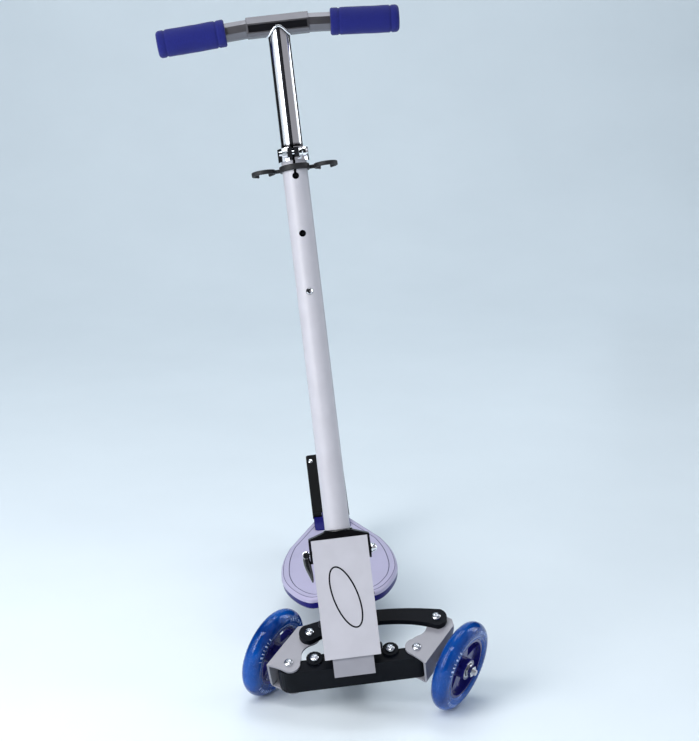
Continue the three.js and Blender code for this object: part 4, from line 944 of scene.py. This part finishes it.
DECK_FRONT = 188
DECK_LENGTH = 300
DECK_HALF, NOSE_HALF, TAIL_HALF = 83.0, 44.0, 28.0
CORNER_SHARE, WIDEST_SHARE, TAPER_SHARE = 0.165, 0.33, 0.66


def curve(ends, steps):
    """Points of a smooth curve on three or four guide points, without its first."""
    degree = len(ends) - 1
    out = []
    for i in range(1, steps + 1):
        t = i / steps
        weights = [math.comb(degree, k) * t ** k * (1 - t) ** (degree - k) for k in range(degree + 1)]
        out.append(tuple(sum(w * point[axis] for w, point in zip(weights, ends)) for axis in (0, 1)))
    return out


def deck_outline(inset, steps=14):
    """The deck seen from above, its sides drawn in by the inset."""
    front, rear = DECK_FRONT + inset, DECK_FRONT + DECK_LENGTH - inset
    wide, nose, tail = DECK_HALF - inset, NOSE_HALF - inset / 2, TAIL_HALF - inset / 2
    shares = (CORNER_SHARE, WIDEST_SHARE, TAPER_SHARE)
    corner, widest, taper = (DECK_FRONT + DECK_LENGTH * share for share in shares)
    taper_half = wide * 0.83
    shoulder = front + (corner - front) * 0.28 - (corner - front) / 6
    pull, edge = wide * 0.72, wide * 0.9
    bulge = widest + (taper - widest) / 2
    right = [(nose, front)]
    right += curve(((nose, front), (pull, shoulder), (edge, corner)), steps)
    right += curve(((edge, corner), (wide, (corner + widest) / 2), (wide, widest)), steps)
    inward = (taper_half + tail / 4, taper - tail)
    right += curve(((wide, widest), (wide, bulge), inward, (taper_half, taper)), steps)
    right += curve(((taper_half, taper), (tail, rear)), 6)
    return right + [(-x, y) for x, y in reversed(right)]


def slab(levels):
    """Levels are (inset, height), in order along the section."""
    return loft([[(x, y, height) for x, y in deck_outline(0.2 + inset)] for inset, height in levels])


def quarter(inset, height, radius, upward, steps=6):
    """Insets and heights round an edge, from the side to the flat."""
    out = []
    for i in range(steps + 1):
        a = math.pi / 2 * i / steps
        rise = radius * math.sin(a)
        out.append((inset + radius * (1 - math.cos(a)), height + (rise if upward else -rise)))
    return out


levels = [(0.0, -3.5)] + quarter(0.0, -1.2, 5.0, True, 8)
levels += [(11.2, 3.95), (11.5, 3.6), (11.9, 3.45), (12.3, 3.6), (12.6, 3.95), (16.0, 3.95), (22.0, 3.95)]
obj = build("deck_top_shell", slab(levels), "body")
finished(obj, "frame", deck_top, "deck_top", "deck_top", smooth=28)
obj.data.materials.append(deck_seam)
# The seam's groove and a line on the rounded edge are darker, picked by their rings of faces
around_deck = len(deck_outline(0))
for face in obj.data.polygons:
    if face.index // around_deck in (7, 10, 11, 12, 13):
        face.material_index = 1
levels = [(1.0, -3.8), (1.0, -9.6)] + quarter(1.0, -9.7, 4.0, False, 6)
levels += [(9.0, -13.7), (9.4, -13.2), (20, -13.2)]
obj = build("deck_base_shell", slab(levels), "body")
finished(obj, "frame", deck_base, "deck_base", "deck_base", smooth=28)


# Small fittings

def stud(name, place, body, spot, radius, height, material, slot, turn=None, spin=0.0):
    """A low screw head with a cross recess."""
    twist = (turn or Matrix.Identity(4)) @ Matrix.Rotation(math.radians(spin), 4, "Z")
    profile = [(0, -0.1)] + dome(radius, height, height * 0.4, foot=-0.1)
    obj = build(name, moved(lathe(profile, 40), twist, spot), place)
    top = tuple(Vector(spot) + twist.to_3x3() @ Vector((0, 0, height - 0.2)))
    carved(obj, *cross_recess(place, twist, top, reach=radius * 0.55, arm=radius * 0.14, depth=height * 0.6))
    finished(obj, body, material, slot, smooth=38)


for side, name in ((-1, "left"), (1, "right")):
    spot = (21.5 * side, 98, 2.0)
    stud(f"flap_screw_{name}", "flap", "brake_flap", spot, 3.6, 1.6, zinc, "zinc", spin=30 * side)

spot = (35.1, 12, 75)
stud("cover_rivet_right", "cover", "frame", spot, 2.2, 1.3, black_screw, "black_screw", turn=ALONG_X)

# A plain oval outline on the cover
OVAL_LEAN = math.radians(15.7)
oval = []
for x, z in ellipse(15.1, 39.7, 96):
    oval.append((
        x * math.cos(OVAL_LEAN) - z * math.sin(OVAL_LEAN), -0.02,
        75 + x * math.sin(OVAL_LEAN) + z * math.cos(OVAL_LEAN),
    ))
shape = swept(oval, 1.0, 8, closed=True, squash=0.2, up=(0, 1, 0))
finished(build("cover_oval_outline", shape, "cover"), "frame", print_black, "black_plastic", smooth=60)


# Metal and plastic parts that keep their own shape get small rounded edges
for name, width in (
    ("crossbeam", 1.2), ("tie_rod", 0.9), ("knuckle_left", 0.5), ("knuckle_right", 0.5), ("front_cover", 0.7),
    ("front_upright", 0.6), ("hinge_block", 0.6), ("brake_base", 0.5), ("brake_flap", 0.5),
    ("clamp_collar", 0.4), ("clamp_bolt", 0.3), ("handle_left", 0.4), ("handle_right", 0.4),
    ("hub_left", 0.6), ("hub_right", 0.6), ("hub_rear", 0.6), ("rear_fork", 0.5), ("neck", 0.6),
):
    soft_edges(nodes[name], width)


# Floor, light and camera

def pale_floor():
    s = Shader("pale_floor")
    s.colour(s.ramp(s.noise(3, 3.0), [(0.3, (0.80, 0.86, 0.91)), (0.7, (0.83, 0.89, 0.94))]))
    s.roughness(s.spread(s.noise(20, 2.0), 0.38, 0.5))
    return s.material


def flag_cloth(name, colour):
    s = Shader(name).set(spec=0.1)
    s.colour(s.ramp(s.noise(60, 3.0), [(0.3, colour), (0.7, tuple(c * 1.2 for c in colour))]))
    s.roughness(s.spread(s.noise(90, 2.0), 0.85, 0.95))
    return s.material


def sweep_floor():
    """A floor that curves up into a wall far behind, without an edge in sight."""
    reach, bend_start, bend = 7.0, 1.8, 2.2
    rows = [(-reach, 0.0), (bend_start, 0.0)]
    for k in range(1, 17):
        a = math.pi / 2 * k / 16
        rows.append((bend_start + bend * math.sin(a), bend * (1 - math.cos(a))))
    rows.append((bend_start + bend, 6.0))
    points = [(x, y, z) for y, z in rows for x in (-reach, reach)]
    faces = [(2 * i, 2 * i + 1, 2 * i + 3, 2 * i + 2) for i in range(len(rows) - 1)]
    mesh = bpy.data.meshes.new("floor")
    mesh.from_pydata(points, [], faces)
    mesh.materials.append(pale_floor())
    obj = bpy.data.objects.new("floor", mesh)
    obj.location = (0, 0, -0.0004)
    bpy.context.scene.collection.objects.link(obj)
    smooth_by_angle(obj)
    return obj


def glowing(name, colour):
    """An even grey or white for a panel that is only seen mirrored."""
    material = bpy.data.materials.new(name)
    material.use_nodes = True
    tree = material.node_tree
    tree.nodes.clear()
    glow = tree.nodes.new("ShaderNodeEmission")
    glow.inputs["Color"].default_value = (*colour, 1)
    out = tree.nodes.new("ShaderNodeOutputMaterial")
    tree.links.new(glow.outputs["Emission"], out.inputs["Surface"])
    return material


def flag(name, bearing, distance, width, material, high=2.6):
    """An upright card round the object. Bearing is in degrees from the camera's side, rightwards."""
    a = math.radians(bearing)
    mesh = bpy.data.meshes.new(name)
    half, low = width / 2, 0.1
    mesh.from_pydata([(-half, 0, low), (half, 0, low), (half, 0, high), (-half, 0, high)], [], [(0, 1, 2, 3)])
    mesh.materials.append(material)
    obj = bpy.data.objects.new(name, mesh)
    obj.location = (distance * math.sin(a), -distance * math.cos(a), 0)
    obj.rotation_mode = "XYZ"
    obj.rotation_euler = (0, 0, a)
    obj.visible_camera = False
    bpy.context.scene.collection.objects.link(obj)
    return obj


dark_cloth = flag_cloth("dark_cloth", (0.012, 0.012, 0.014))
white_card = flag_cloth("white_card", (0.80, 0.80, 0.80))
sweep_floor()
for name, bearing, distance in (("card_camera_left", -26, 3.6), ("card_left", -68, 2.6)):
    flag(name, bearing, distance, 2.4, white_card)

# These show only in reflections, as the bands on the round metal
for name, bearing, distance, width, cloth, high in (
    ("flag_left", -119, 1.95, 1.95, dark_cloth, 2.6),
    ("flag_front", -8, 3.3, 2.4, dark_cloth, 6.5),
    ("flag_right", 138, 2.1, 1.4, dark_cloth, 2.6),
    ("panel_grey", 47, 3.5, 4.9, glowing("panel_grey", (0.34, 0.335, 0.36)), 5.0),
    ("panel_white", 103, 3.1, 2.1, glowing("panel_white", (0.95, 0.96, 1.0)), 3.0),
):
    panel = flag(name, bearing, distance, width, cloth, high)
    panel.visible_diffuse = False
    panel.visible_shadow = False


def area_light(name, place, target, size, power, colour=(1, 1, 1), shape_y=None):
    data = bpy.data.lights.new(name, "AREA")
    data.energy = power
    data.color = colour
    data.size = size
    if shape_y:
        data.shape = "RECTANGLE"
        data.size_y = shape_y
    obj = bpy.data.objects.new(name, data)
    obj.location = place
    obj.rotation_mode = "QUATERNION"
    obj.rotation_quaternion = (Vector(target) - Vector(place)).to_track_quat("-Z", "Y")
    bpy.context.scene.collection.objects.link(obj)
    return obj


middle = (0.0, -0.1, 0.45)
area_light("key", (-1.45, -1.45, 1.45), middle, 0.9, 32, shape_y=1.8)
area_light("card_light", (-0.6, -1.5, 2.4), (-1.6, -3.0, 0.6), 1.6, 60)
fill = area_light("fill", (2.7, -1.1, 1.2), middle, 0.5, 14, (0.94, 0.97, 1.0), shape_y=2.2)
fill.visible_glossy = False
area_light("top", (0.0, 0.45, 3.0), middle, 1.4, 11)
area_light("rim", (2.3, 0.7, 1.3), middle, 0.6, 14, (0.92, 0.96, 1.0), shape_y=2.4)
area_light("wall", (0.0, 1.2, 3.6), (0.0, 3.6, 0.8), 2.6, 44, (0.9, 0.96, 1.0))

world = bpy.data.worlds.new("studio")
bpy.context.scene.world = world
world.use_nodes = True
backdrop = world.node_tree.nodes["Background"]
backdrop.inputs["Color"].default_value = (0.62, 0.78, 0.90, 1)
backdrop.inputs["Strength"].default_value = 0.28

bpy.context.scene.view_settings.view_transform = "Standard"

# Camera, fitted to the photograph. Its focal length is in pixels of the photograph's height
CAMERA_AT = Vector((-102.57, -2212.55, 969.53)) * MM
CAMERA_LOOK = Vector((0.0635, 0.9638, -0.2588)).normalized()
CAMERA_ROLL = math.radians(0.44)
SENSOR = 36.0
FOCAL_PIXELS, HEIGHT_PIXELS = 1675.65, 741.0

camera_data = bpy.data.cameras.new("camera")
camera = bpy.data.objects.new("camera", camera_data)
camera.location = CAMERA_AT
camera.rotation_mode = "QUATERNION"
camera.rotation_quaternion = CAMERA_LOOK.to_track_quat("-Z", "Y") @ Quaternion((0, 0, 1), CAMERA_ROLL)
camera_data.lens = SENSOR * FOCAL_PIXELS / HEIGHT_PIXELS
camera_data.sensor_width = SENSOR
camera_data.clip_end = 60
bpy.context.scene.collection.objects.link(camera)
bpy.context.scene.camera = camera

for obj in nodes.values():
    if not obj.hide_render:
        smooth_by_angle(obj)
